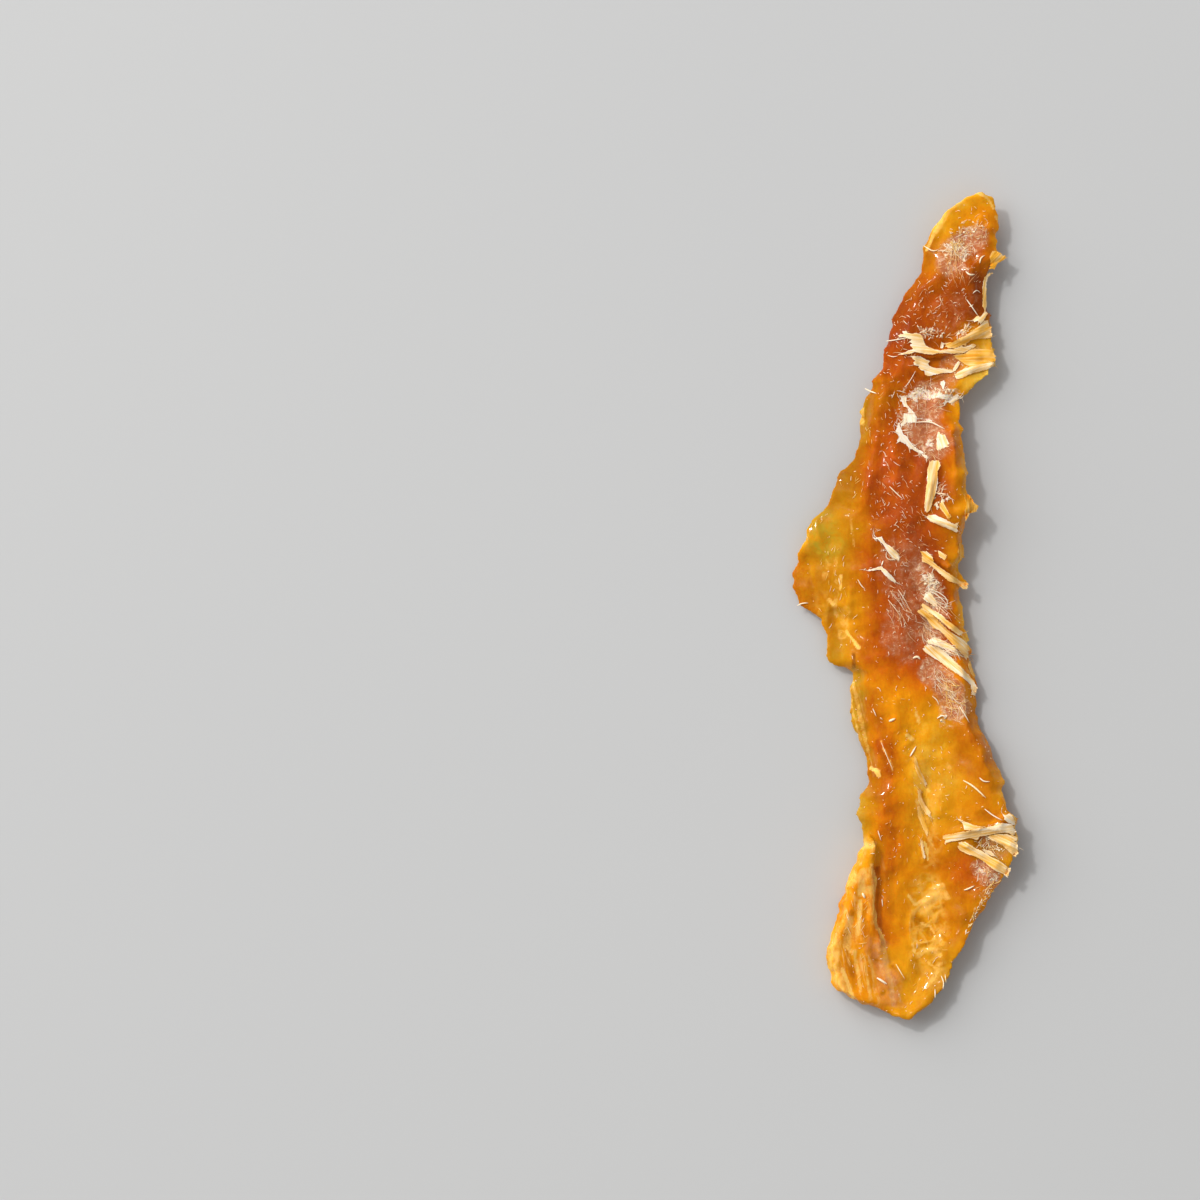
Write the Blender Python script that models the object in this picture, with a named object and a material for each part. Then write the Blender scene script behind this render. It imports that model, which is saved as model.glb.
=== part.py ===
"""A dried stockfish strip that lies flat: one torn, curled strip with a side lobe, a folded corner
and shreds of fibre that lift off it. In metres, +Z up, along Y, with its underside on Z = 0."""

import math

import bmesh
import bpy
from mathutils import Vector, noise

MM = 0.001
NODE = "stockfish_strip"

# All the sizes below are in millimetres, along the strip from its lower tip and across it from
# a line near its middle
LENGTH = 148.9
ROWS = 136
COLUMNS = 13
COLUMN_CROWDING = 0.55  # how far the columns move towards the two edges, 0 to 1
LOWER_TIP = 0.3
UPPER_TIP = 13.6

# The torn outline: (along, across)
LEFT_EDGE = (
    (0.0, -0.8), (2.0, -4.2), (4.0, -9.6), (6.8, -13.4), (11.2, -14.3), (14.8, -13.6), (25.2, -10.5),
    (31.0, -8.0), (34.5, -7.6), (38.2, -8.7), (42.1, -6.8), (45.4, -6.6), (51.5, -8.7), (58.7, -10.0),
    (63.0, -9.4), (63.8, -13.0), (64.9, -14.4), (69.0, -14.3), (72.5, -15.2), (74.6, -19.0),
    (79.2, -20.8), (85.5, -18.8), (90.3, -16.6), (92.8, -13.8), (97.8, -12.2), (100.2, -9.8),
    (103.6, -8.2), (109.4, -8.0), (112.8, -6.6), (117.0, -4.2), (126.0, -2.4), (130.0, -0.4),
    (133.0, 2.0), (140.8, 4.2), (145.2, 7.2), (147.6, 10.2), (148.9, 12.6),
)
RIGHT_EDGE = (
    (0.0, 1.0), (3.4, 4.8), (6.8, 7.5), (12.2, 9.8), (22.7, 15.6), (28.4, 19.3), (32.8, 20.6),
    (41.0, 17.7), (45.5, 17.2), (53.6, 13.2), (62.0, 12.6), (71.0, 11.0), (80.0, 9.6), (90.0, 11.2),
    (100.0, 10.8), (112.0, 9.6), (113.4, 12.4), (116.6, 15.4), (120.5, 16.2), (128.5, 14.4),
    (133.0, 14.7), (141.0, 16.6), (145.5, 16.4), (148.0, 15.4), (148.9, 14.4),
)
EDGE_ROUNDING = 0.45

# Torn teeth that stand out of the outline: (along, reach, half span), left ones with a minus
TEETH = (
    (12.9, -0.5, 1.2), (24.6, -0.5, 0.9), (36.8, -0.7, 1.1), (40.2, -0.6, 0.8), (53.4, -0.7, 1.2),
    (76.2, -0.5, 1.0), (98.0, -1.1, 1.0), (103.6, -0.5, 1.2), (115.2, -0.6, 0.8), (122.9, -0.5, 0.9),
    (139.4, -0.4, 1.2), (5.4, -0.5, 0.8), (24.8, 0.5, 0.9), (35.9, 0.9, 1.1), (42.7, 0.6, 1.1),
    (67.2, 0.4, 0.9), (83.8, 0.7, 1.3), (92.3, 1.9, 1.5), (99.0, 0.5, 1.2), (106.2, 0.9, 0.8),
    (124.4, 0.8, 1.1), (137.0, 2.4, 1.6), (142.6, 0.9, 1.1),
)
TEAR_DEPTH = 0.7
TEAR_PITCH = 1.5

# Where each kind of unevenness is read, so that none repeats another
TEAR_LAYER = 0.4
RUFFLE_LAYER = 9.0
WRINKLE_LAYER = 2.0
PIT_LAYER = 5.0
STREAK_LAYER = 8.0
EDGES_APART = 7.3

# How thick the middle is, how wide the thin margins are and how thick the rims: (along, size)
THICKNESS = (
    (0.0, 1.5), (8.0, 2.6), (25.0, 3.2), (45.0, 3.7), (65.0, 4.2), (85.0, 4.9), (105.0, 4.8),
    (122.0, 4.6), (135.0, 4.0), (144.0, 2.9), (148.9, 1.5),
)
LEFT_MARGIN = (
    (0.0, 3.0), (30.0, 3.5), (55.0, 4.2), (63.0, 4.2), (69.0, 8.0), (82.0, 12.0), (93.0, 7.0),
    (104.0, 4.2), (130.0, 3.8), (140.0, 5.2), (148.9, 4.0),
)
RIGHT_MARGIN = (
    (0.0, 3.2), (25.0, 3.0), (45.0, 2.6), (80.0, 1.9), (104.0, 2.0), (113.0, 4.5), (120.0, 6.0),
    (128.0, 3.6), (148.9, 2.6),
)
LEFT_RIM = (
    (0.0, 1.4), (6.0, 2.6), (26.0, 2.6), (34.0, 1.5), (60.0, 1.1), (90.0, 1.1), (104.0, 1.5),
    (126.0, 1.5), (136.0, 1.9), (148.9, 1.3),
)
RIGHT_RIM = ((0.0, 1.3), (40.0, 1.3), (70.0, 1.0), (110.0, 1.0), (120.0, 1.1), (148.9, 1.2))
RIM_ROUNDING = 1.2
LEAST_SHARE = 0.5  # of the thickness, kept under a hollow

# How far the middle and the two edges lift off what the strip lies on: (along, height)
MIDDLE_LIFT = (
    (0.0, 1.4), (9.0, 0.0), (22.0, 0.0), (38.0, 1.2), (54.0, 0.0), (78.0, 0.0), (97.0, 1.6),
    (115.0, 0.0), (128.0, 0.0), (148.9, 2.4),
)
LEFT_LIFT = (
    (0.0, 1.0), (15.0, 0.5), (35.0, 2.0), (58.0, 1.5), (67.0, 2.6), (80.0, 0.7), (95.0, 2.0),
    (115.0, 2.6), (135.0, 1.6), (148.9, 1.8),
)
RIGHT_LIFT = (
    (0.0, 1.4), (12.0, 3.6), (25.0, 4.2), (38.0, 2.6), (55.0, 1.3), (70.0, 1.1), (88.0, 3.0),
    (104.0, 3.4), (118.0, 4.6), (132.0, 3.0), (148.9, 1.8),
)
CURL_WIDTH = 7.5
PROFILE_ROUNDING = 3.0  # along, at each station
SETTLING = 0.2  # the underside sinks this far, so that its lowest parts lie flat
RUFFLE_HEIGHT = 1.5
RUFFLE_PITCH = 5.5

# Swells and hollows of the upper face: (along, across, half length, half width, height)
SWELLS = (
    (9.0, 5.0, 5.0, 2.6, -0.5),
    (20.0, 4.6, 6.0, 3.2, -1.1),
    (35.0, 3.4, 9.0, 2.0, -1.0),
    (48.0, 6.2, 8.0, 3.4, -0.9),
    (43.0, -3.0, 12.0, 2.4, 1.0),
    (38.0, 12.6, 13.0, 2.8, 0.9),
    (31.0, 15.6, 2.0, 2.6, -1.3),
    (33.8, 18.6, 2.2, 1.8, 0.5),
    (67.0, 6.6, 3.0, 2.2, -0.9),
    (71.6, 4.2, 2.0, 1.5, -0.8),
    (60.0, 9.6, 5.0, 3.0, 0.5),
    (80.0, -2.5, 14.0, 3.6, 0.9),
    (92.0, 2.5, 9.0, 2.6, 0.6),
    (70.0, -11.5, 4.0, 2.4, -0.5),
    (97.5, 6.0, 4.0, 1.6, -0.8),
    (106.0, 4.6, 7.0, 4.2, -0.8),
    (110.5, -5.0, 5.0, 2.0, 0.7),
    (119.6, 8.6, 2.6, 3.4, -1.1),
    (122.5, 1.5, 4.0, 3.0, 0.4),
    (131.5, 8.5, 6.0, 3.4, 0.5),
    (140.0, 12.5, 3.6, 2.6, -0.4),
)
WRINKLE_HEIGHT = 0.75
WRINKLE_SIZE = (2.6, 6.0)  # across, along
PIT_HEIGHT = 0.35
PIT_SIZE = (1.7, 2.3)

# The lower left corner, folded over the strip: its free lip as (along, across)
FLAP_LIP = (
    (2.4, 0.4), (6.3, -0.4), (9.0, -1.4), (13.1, -3.7), (16.9, -5.2), (21.1, -5.5), (24.8, -5.5),
    (28.3, -5.7), (31.0, -5.0), (32.4, -5.2), (33.5, -6.4),
)
FLAP_LIP_ROUNDING = 0.8
FLAP_START = 2.4
FLAP_END = 33.8
FLAP_ROWS = 30
FLAP_COLUMNS = 8
FLAP_INSET = 0.35
FLAP_THICKNESS = 1.6
FLAP_LIP_THICKNESS = 0.9
FLAP_ROUNDING = 1.8
FLAP_GAP = 0.55  # between the free lip and the face below it
FLAP_FREE = (9.5, 15.5)  # below the first the lip runs out flat into the face, past the second it stands free
FLAP_SINK = 0.9
FLAP_STREAK_HEIGHT = 0.3
FLAP_STREAK_SIZE = (1.4, 9.0)
FLAP_KNOB = (31.4, -6.2, 1.7, 1.3, 0.7)

# Shreds of fibre: three points as (across, along), both end widths, and how far the middle rises
SHREDS = (
    # Across the hollow below the upper tip
    (((-1.6, 123.2), (3.0, 119.8), (12.7, 121.5)), 2.2, 0.9, 0.7),
    (((0.6, 119.6), (3.0, 116.3), (8.9, 116.6)), 1.9, 0.8, 0.6),
    (((8.6, 115.9), (12.3, 117.2), (16.2, 118.1)), 0.8, 1.3, 0.7),
    (((7.2, 121.5), (10.5, 122.8), (15.6, 124.9)), 0.7, 1.9, 0.6),
    (((12.0, 126.2), (13.6, 125.7), (15.4, 127.0)), 0.9, 1.1, 0.5),
    (((10.2, 120.3), (13.4, 119.3), (16.0, 120.8)), 0.7, 1.1, 0.4),
    # Down the middle
    (((5.3, 101.2), (4.5, 96.4), (3.6, 91.1)), 1.5, 0.7, 0.8),
    (((6.4, 101.0), (6.0, 97.9), (5.0, 94.7)), 0.8, 0.6, 0.6),
    (((3.8, 90.7), (6.8, 89.4), (9.6, 87.6)), 0.9, 1.1, 0.5),
    (((2.9, 84.0), (7.0, 82.2), (11.1, 78.2)), 1.8, 0.9, 0.7),
    (((6.2, 93.8), (7.5, 92.2), (8.0, 90.0)), 0.6, 0.9, 0.4),
    # On the left face
    (((-3.0, 101.4), (-1.6, 100.8), (0.3, 99.0)), 0.8, 0.6, 0.3),
    (((-4.9, 87.0), (-3.4, 86.4), (-0.9, 83.0)), 0.9, 0.7, 0.3),
    (((-7.2, 80.9), (-4.4, 82.1), (-1.6, 78.6)), 0.6, 0.8, 0.3),
    # The bundle at the right edge
    (((2.6, 74.2), (7.4, 71.2), (11.9, 66.0)), 1.4, 1.2, 0.8),
    (((4.4, 74.6), (8.9, 71.9), (11.4, 68.2)), 1.0, 1.0, 0.7),
    (((3.3, 68.0), (7.8, 66.9), (11.3, 62.4)), 1.5, 1.0, 0.7),
    (((10.9, 62.9), (12.6, 60.9), (12.6, 58.5)), 0.9, 0.8, 0.4),
    # At the lower right bulge
    (((6.7, 32.8), (13.2, 34.9), (19.4, 34.3)), 1.3, 1.5, 0.8),
    (((15.9, 35.2), (17.9, 36.6), (20.0, 35.9)), 1.2, 1.6, 0.5),
    (((9.2, 32.2), (13.9, 30.4), (18.3, 26.6)), 1.1, 1.1, 0.7),
    (((15.2, 33.0), (18.2, 32.1), (20.0, 30.0)), 1.1, 1.4, 0.6),
    (((9.2, 36.6), (11.0, 35.8), (13.0, 34.6)), 0.8, 0.8, 0.4),
)
SHRED_STATIONS = 6
SHRED_THICKNESS = 0.9
SHRED_SINK = 0.75  # how deep both ends lie in the strip
SHRED_SEAT = 0.25
SHRED_SECTION = ((-1, 0.5), (-0.8, -0.5), (0.8, -0.5), (1, 0.4))  # half widths, thicknesses
SHRED_LOOK_AHEAD = 0.02

FLESH_COLOUR = (0.72, 0.27, 0.02, 1.0)
FLESH_ROUGHNESS = 0.38
SMOOTH_ANGLE = math.radians(50)
WELD_DISTANCE = 0.004 * MM


def clamp(value, low=0.0, high=1.0):
    return max(low, min(high, value))


def smooth_step(value):
    value = clamp(value)
    return value * value * (3 - 2 * value)


def between(stations, at):
    """The value at one place of a list of (along, value) stations, in straight runs."""
    before = stations[0]
    for after in stations[1:]:
        if at <= after[0]:
            share = clamp((at - before[0]) / (after[0] - before[0]))
            return before[1] + (after[1] - before[1]) * share
        before = after
    return before[1]


def eased(stations, at, width):
    """The same with the corners rounded over a width to each side."""
    return sum(between(stations, at + step * width) for step in (-1, -0.5, 0, 0.5, 1)) / 5


def grain(across, along, size, layer):
    """Even, seeded unevenness from -1 to 1 in patches of a size (across, along)."""
    return noise.noise(Vector((across / size[0], along / size[1], layer)))


def edge(along, side):
    """One torn edge of the strip, at side -1 for the left and 1 for the right."""
    stations = LEFT_EDGE if side < 0 else RIGHT_EDGE
    across = eased(stations, along, EDGE_ROUNDING)
    for place, reach, span in TEETH:
        if reach * side > 0:
            across += reach * smooth_step(1 - abs(along - place) / span)
    return across + TEAR_DEPTH * grain(side * EDGES_APART, along, (1, TEAR_PITCH), TEAR_LAYER)


def rim_distances(across, along):
    """How far a place is from the left and from the right edge."""
    return max(0.0, across - edge(along, -1)), max(0.0, edge(along, 1) - across)


def underside(across, along):
    """Height of the lower face."""
    left, right = rim_distances(across, along)
    height = eased(MIDDLE_LIFT, along, PROFILE_ROUNDING) - SETTLING
    for near, lifts, side in ((left, LEFT_LIFT, -1), (right, RIGHT_LIFT, 1)):
        curl = (1 - clamp(near / CURL_WIDTH)) ** 2
        ruffle = RUFFLE_HEIGHT * grain(side * EDGES_APART, along, (1, RUFFLE_PITCH), RUFFLE_LAYER)
        height += curl * (eased(lifts, along, PROFILE_ROUNDING) + ruffle)
    return max(0.0, height)


def thickness(across, along):
    """Thickness of the strip at one place, with thin margins and rounded rims."""
    left, right = rim_distances(across, along)
    core = eased(THICKNESS, along, PROFILE_ROUNDING)
    near_left = smooth_step(left / between(LEFT_MARGIN, along))
    near_right = smooth_step(right / between(RIGHT_MARGIN, along))
    rim = between(LEFT_RIM, along) if left < right else between(RIGHT_RIM, along)
    full = rim + (core - rim) * near_left * near_right
    from_rim = clamp(min(left, right) / RIM_ROUNDING)
    return full * math.sqrt(1 - (1 - from_rim) ** 2)


def relief(across, along):
    """Swells, hollows, wrinkles and pits of the upper face, fading out at the rims."""
    height = WRINKLE_HEIGHT * grain(across, along, WRINKLE_SIZE, WRINKLE_LAYER)
    height += PIT_HEIGHT * grain(across, along, PIT_SIZE, PIT_LAYER)
    for place, middle, half_length, half_width, swell in SWELLS:
        apart = math.hypot((along - place) / half_length, (across - middle) / half_width)
        height += swell * smooth_step(1 - apart / 2)
    return height * smooth_step(min(rim_distances(across, along)) / RIM_ROUNDING)


def upper_face(across, along):
    """Height of the upper face."""
    solid = thickness(across, along)
    return underside(across, along) + max(solid * LEAST_SHARE, solid + relief(across, along))


def add_object(name, mesh_data):
    mesh = bpy.data.meshes.new(name)
    mesh_data.to_mesh(mesh)
    mesh_data.free()
    item = bpy.data.objects.new(name, mesh)
    bpy.context.scene.collection.objects.link(item)
    return item


def pillow(name, rows, first_tip, last_tip):
    """A closed sheet from rows of (top, bottom) points: the rims are shared, the ends are tips."""
    sheet = bmesh.new()
    top_rows = []
    bottom_rows = []
    for row in rows:
        tops = [sheet.verts.new(Vector(top) * MM) for top, _ in row]
        bottoms = [sheet.verts.new(Vector(low) * MM) for _, low in row[1:-1]]
        top_rows.append(tops)
        bottom_rows.append([tops[0], *bottoms, tops[-1]])
    for grid in (top_rows, bottom_rows):
        for near, far in zip(grid, grid[1:]):
            for k in range(len(near) - 1):
                sheet.faces.new((near[k], near[k + 1], far[k + 1], far[k]))
    for point, tops, bottoms in (
        (first_tip, top_rows[0], bottom_rows[0]),
        (last_tip, top_rows[-1], bottom_rows[-1]),
    ):
        tip = sheet.verts.new(Vector(point) * MM)
        for line in (tops, bottoms):
            for k in range(len(line) - 1):
                sheet.faces.new((tip, line[k], line[k + 1]))
    bmesh.ops.recalc_face_normals(sheet, faces=sheet.faces)
    bmesh.ops.triangulate(sheet, faces=sheet.faces)
    return add_object(name, sheet)


def column_share(k, columns):
    """Where a column lies across the strip, 0 to 1, closer together near the edges."""
    even = k / columns
    crowded = 0.5 - 0.5 * math.cos(math.pi * even)
    return even + (crowded - even) * COLUMN_CROWDING


def make_strip():
    rows = []
    for i in range(1, ROWS):
        along = LENGTH * i / ROWS
        left = edge(along, -1)
        right = edge(along, 1)
        row = []
        for k in range(COLUMNS + 1):
            across = left + (right - left) * column_share(k, COLUMNS)
            low = underside(across, along)
            high = upper_face(across, along)
            if k in (0, COLUMNS):
                high = low + between(RIGHT_RIM if k else LEFT_RIM, along) / 2
            row.append(((across, along, high), (across, along, low)))
        rows.append(row)
    first_tip = (LOWER_TIP, 0.0, underside(LOWER_TIP, 0.0) + THICKNESS[0][1] / 2)
    last_tip = (UPPER_TIP, LENGTH, underside(UPPER_TIP, LENGTH) + THICKNESS[-1][1] / 2)
    return pillow(NODE, rows, first_tip, last_tip)


def flap_heights(across, along, fold, lip):
    """Heights of both faces of the folded corner at one place."""
    base = upper_face(across, along)
    share = clamp((across - fold) / (lip - fold))
    rounding = math.sqrt(1 - (1 - clamp((across - fold) / FLAP_ROUNDING)) ** 2)
    streaks = FLAP_STREAK_HEIGHT * grain(across, along, FLAP_STREAK_SIZE, STREAK_LAYER)
    place, middle, half_length, half_width, swell = FLAP_KNOB
    apart = math.hypot((along - place) / half_length, (across - middle) / half_width)
    knob = swell * smooth_step(1 - apart / 2)
    free = smooth_step((along - FLAP_FREE[0]) / (FLAP_FREE[1] - FLAP_FREE[0]))
    solid = FLAP_THICKNESS + (FLAP_LIP_THICKNESS * free - FLAP_THICKNESS) * share
    lifted = free * smooth_step(share)
    low = base - FLAP_SINK + (FLAP_SINK + FLAP_GAP) * lifted
    high = base + (solid + streaks + knob) * rounding + FLAP_GAP * lifted
    return high, low


def make_flap():
    rows = []
    for i in range(1, FLAP_ROWS):
        along = FLAP_START + (FLAP_END - FLAP_START) * i / FLAP_ROWS
        fold = edge(along, -1) + FLAP_INSET
        lip = eased(FLAP_LIP, along, FLAP_LIP_ROUNDING)
        row = []
        for k in range(FLAP_COLUMNS + 1):
            across = fold + (lip - fold) * column_share(k, FLAP_COLUMNS)
            high, low = flap_heights(across, along, fold, lip)
            if k in (0, FLAP_COLUMNS):
                high = (high + low) / 2
            row.append(((across, along, high), (across, along, low)))
        rows.append(row)
    ends = []
    for along in (FLAP_START, FLAP_END):
        across = (edge(along, -1) + FLAP_INSET + between(FLAP_LIP, along)) / 2
        ends.append((across, along, upper_face(across, along)))
    return pillow("flap", rows, *ends)


def on_curve(points, share):
    """A place on the smooth curve through three points."""
    start, middle, end = (Vector(point) for point in points)
    control = middle * 2 - (start + end) / 2
    return start * (1 - share) ** 2 + control * 2 * share * (1 - share) + end * share**2


def make_shred(name, points, first_width, last_width, rise):
    """A flat ribbon of fibre whose two ends sink into the strip."""
    ribbon = bmesh.new()
    rings = []
    for i in range(SHRED_STATIONS):
        share = i / (SHRED_STATIONS - 1)
        place = on_curve(points, share)
        ahead = on_curve(points, share + SHRED_LOOK_AHEAD) - on_curve(points, share - SHRED_LOOK_AHEAD)
        sideways = Vector((-ahead.y, ahead.x)).normalized()
        half = (first_width + (last_width - first_width) * share) / 2
        lifted = math.sin(math.pi * share)
        left = edge(place.y, -1) + RIM_ROUNDING / 2
        right = edge(place.y, 1) - RIM_ROUNDING / 2
        seat = upper_face(clamp(place.x, left, right), place.y)
        middle = seat - SHRED_SEAT + rise * lifted - SHRED_SINK * (1 - lifted) ** 3
        ring = []
        for turn, height in SHRED_SECTION:
            spot = place + sideways * half * turn
            ring.append(ribbon.verts.new(Vector((spot.x, spot.y, middle + height * SHRED_THICKNESS)) * MM))
        rings.append(ring)
    for near, far in zip(rings, rings[1:]):
        for k in range(4):
            ribbon.faces.new((near[k], near[k - 1], far[k - 1], far[k]))
    ribbon.faces.new(rings[0])
    ribbon.faces.new(rings[-1][::-1])
    bmesh.ops.recalc_face_normals(ribbon, faces=ribbon.faces)
    bmesh.ops.triangulate(ribbon, faces=ribbon.faces)
    return add_object(name, ribbon)


def fuse(body, extras):
    """Makes one solid of the strip and what lies on it."""
    group = bpy.data.collections.new("fused")
    bpy.context.scene.collection.children.link(group)
    for item in extras:
        bpy.context.scene.collection.objects.unlink(item)
        group.objects.link(item)
    union = body.modifiers.new("union", "BOOLEAN")
    union.operation = "UNION"
    union.operand_type = "COLLECTION"
    union.collection = group
    union.solver = "EXACT"
    graph = bpy.context.evaluated_depsgraph_get()
    fused = bpy.data.meshes.new_from_object(body.evaluated_get(graph))
    body.modifiers.clear()
    body.data = fused
    for item in extras:
        bpy.data.objects.remove(item)
    bpy.data.collections.remove(group)


def face_groups(mesh):
    """The separate shells of a mesh, as sets of faces."""
    waiting = set(mesh.faces)
    groups = []
    while waiting:
        group = set()
        border = [waiting.pop()]
        while border:
            face = border.pop()
            group.add(face)
            for line in face.edges:
                for neighbour in line.link_faces:
                    if neighbour in waiting:
                        waiting.remove(neighbour)
                        border.append(neighbour)
        groups.append(group)
    return groups


def clean(body):
    """Keeps the outer shell alone, so that sealed hollows are solid and scraps are gone."""
    mesh = bmesh.new()
    mesh.from_mesh(body.data)
    bmesh.ops.remove_doubles(mesh, verts=mesh.verts, dist=WELD_DISTANCE)
    bmesh.ops.dissolve_degenerate(mesh, edges=mesh.edges, dist=WELD_DISTANCE)
    shells = face_groups(mesh)
    outer = max(shells, key=len)
    extra = [face for shell in shells if shell is not outer for face in shell]
    bmesh.ops.delete(mesh, geom=extra, context="FACES")
    bmesh.ops.triangulate(mesh, faces=mesh.faces)
    mesh.to_mesh(body.data)
    mesh.free()


def settle(body):
    """Puts the origin under the middle of the strip's box."""
    corners = [vertex.co for vertex in body.data.vertices]
    low = Vector([min(corner[axis] for corner in corners) for axis in range(3)])
    high = Vector([max(corner[axis] for corner in corners) for axis in range(3)])
    base = Vector(((low.x + high.x) / 2, (low.y + high.y) / 2, low.z))
    for vertex in body.data.vertices:
        vertex.co -= base


def give_material(body):
    material = bpy.data.materials.new("dried_flesh")
    material.use_nodes = True
    shader = material.node_tree.nodes["Principled BSDF"]
    shader.inputs["Base Color"].default_value = FLESH_COLOUR
    shader.inputs["Roughness"].default_value = FLESH_ROUGHNESS
    shader.inputs["Metallic"].default_value = 0.0
    body.data.materials.clear()
    body.data.materials.append(material)


def main():
    for item in list(bpy.data.objects):
        bpy.data.objects.remove(item)
    body = make_strip()
    extras = [make_flap()]
    for number, shred in enumerate(SHREDS):
        extras.append(make_shred(f"shred_{number}", *shred))
    fuse(body, extras)
    clean(body)
    settle(body)
    give_material(body)
    body.data.shade_smooth()
    body.data.set_sharp_from_angle(angle=SMOOTH_ANGLE)


main()
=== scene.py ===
import math
import random

import bpy
import numpy as np
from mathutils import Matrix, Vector, geometry, noise
from mathutils.bvhtree import BVHTree


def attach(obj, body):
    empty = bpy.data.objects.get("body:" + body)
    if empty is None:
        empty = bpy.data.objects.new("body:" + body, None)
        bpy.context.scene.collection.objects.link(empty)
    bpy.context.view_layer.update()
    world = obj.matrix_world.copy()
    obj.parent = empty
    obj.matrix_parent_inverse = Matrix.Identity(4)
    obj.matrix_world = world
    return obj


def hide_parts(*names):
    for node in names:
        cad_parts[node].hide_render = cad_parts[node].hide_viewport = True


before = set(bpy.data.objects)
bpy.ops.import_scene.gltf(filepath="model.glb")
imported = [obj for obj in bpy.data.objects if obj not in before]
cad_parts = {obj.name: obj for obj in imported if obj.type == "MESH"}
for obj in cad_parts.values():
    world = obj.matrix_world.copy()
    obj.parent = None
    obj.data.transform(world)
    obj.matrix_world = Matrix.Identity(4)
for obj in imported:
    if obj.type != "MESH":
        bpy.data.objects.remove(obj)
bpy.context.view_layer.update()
bpy.ops.object.select_all(action="DESELECT")
scene = bpy.context.scene
mm = 0.001
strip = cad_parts["stockfish_strip"]


# small helpers for meshes
def colour(red, green, blue):
    # a screen colour, 0 to 255, as the shader wants it
    parts = [part / 255 for part in (red, green, blue)]
    linear = [part / 12.92 if part < 0.04045 else ((part + 0.055) / 1.055) ** 2.4 for part in parts]
    return (*linear, 1.0)


def selectOnly(thing):
    bpy.ops.object.select_all(action="DESELECT")
    thing.select_set(True)
    bpy.context.view_layer.objects.active = thing


def applyModifier(thing, kind, **settings):
    modifier = thing.modifiers.new(kind.lower(), kind)
    for name, value in settings.items():
        setattr(modifier, name, value)
    selectOnly(thing)
    bpy.ops.object.modifier_apply(modifier=modifier.name)


def readRows(items, key):
    found = np.empty(len(items) * 3, np.float32)
    items.foreach_get(key, found)
    return found.reshape(-1, 3).astype(float)


def takeShape(blank):
    # the points and faces of a blank, which then goes
    shape = readRows(blank.data.vertices, "co")
    faces = [tuple(face.vertices) for face in blank.data.polygons]
    bpy.data.objects.remove(blank)
    return shape, faces


def addAttribute(thing, name, values):
    kind, key = ("FLOAT_VECTOR", "vector") if values.ndim == 2 else ("FLOAT", "value")
    layer = thing.data.attributes.new(name, kind, "POINT")
    layer.data.foreach_set(key, np.asarray(values, np.float32).ravel())


def rounded(share):
    share = np.clip(share, 0, 1)
    return share * share * (3 - 2 * share)


def noiseAt(points, size, shift=0.0, octaves=1, stretch=(1, 1, 1)):
    # smooth noise of about -1 to 1, its lumps as large as size
    scaled = points / mm / size * np.array(stretch) + shift
    if octaves == 1:
        return np.array([noise.noise(Vector(row)) for row in scaled])
    return np.array([noise.fractal(Vector(row), 1.0, 2.0, octaves) for row in scaled])


# small helpers for the tables
def pairs(numbers):
    # x, y, x, y and so on as points in mm
    return np.array(numbers).reshape(-1, 2) / 10


def distanceTo(spots, path):
    # shortest way from every spot to a line of straight pieces
    best = np.full(len(spots), 1e9)
    for start, end in zip(path, path[1:]):
        run = end - start
        share = np.clip(((spots - start) @ run) / max(run @ run, 1e-9), 0, 1)
        best = np.minimum(best, np.linalg.norm(spots - start - share[:, None] * run, axis=1))
    return best


def insideOutline(spots, outline):
    inside = np.zeros(len(spots), bool)
    for first, second in zip(outline, np.roll(outline, -1, axis=0)):
        crosses = (first[1] > spots[:, 1]) != (second[1] > spots[:, 1])
        slope = (second[0] - first[0]) / ((second[1] - first[1]) or 1e-9)
        inside ^= crosses & (spots[:, 0] < first[0] + (spots[:, 1] - first[1]) * slope)
    return inside


def maskPatches(spots, patches, soft):
    # full inside each outline, fading over soft mm across it
    mask = np.zeros(len(spots))
    for value, *path in patches:
        path = pairs(path)
        near = distanceTo(spots, np.vstack([path, path[:1]]))
        depth = np.where(insideOutline(spots, path), near, -near)
        mask = np.maximum(mask, value * rounded(0.5 + depth / soft))
    return mask


def blendStrokes(spots, strokes):
    # every stroke pulls the spots round it towards its own tone and depth, the depth partly painted shade
    total = np.full(len(spots), 1e-9)
    blend = np.zeros((2, len(spots)))
    for reach, tone, deep, *path in strokes:
        near = distanceTo(spots, pairs(path)) / reach
        weight = np.exp(-0.8 * near ** 2) + 0.01 / (1 + near ** 3)
        total += weight
        blend += np.outer((tone, deep), weight)
    return blend / total


def maskStrokes(spots, strokes):
    mask = np.zeros(len(spots))
    for reach, value, *path in strokes:
        near = distanceTo(spots, pairs(path)) / reach
        mask = np.maximum(mask, value * rounded((1.35 - near) / 0.7))
    return mask


def roundedPath(numbers, count):
    # count points along a line whose corners are cut three times
    line = pairs(numbers)
    for turn in range(3):
        cut = np.repeat(line[:-1] * 0.75 + line[1:] * 0.25, 2, axis=0)
        cut[1::2] = line[:-1] * 0.25 + line[1:] * 0.75
        line = np.vstack([line[:1], cut, line[-1:]])
    run = np.r_[0, np.cumsum(np.linalg.norm(np.diff(line, axis=0), axis=1))]
    where = np.linspace(0, run[-1], count)
    return np.column_stack([np.interp(where, run, line[:, axis]) for axis in (0, 1)])


# small helpers for shaders: they work in the node tree called tree
def feed(socket, value):
    if isinstance(value, bpy.types.NodeSocket):
        tree.links.new(value, socket)
    else:
        socket.default_value = value


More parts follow.
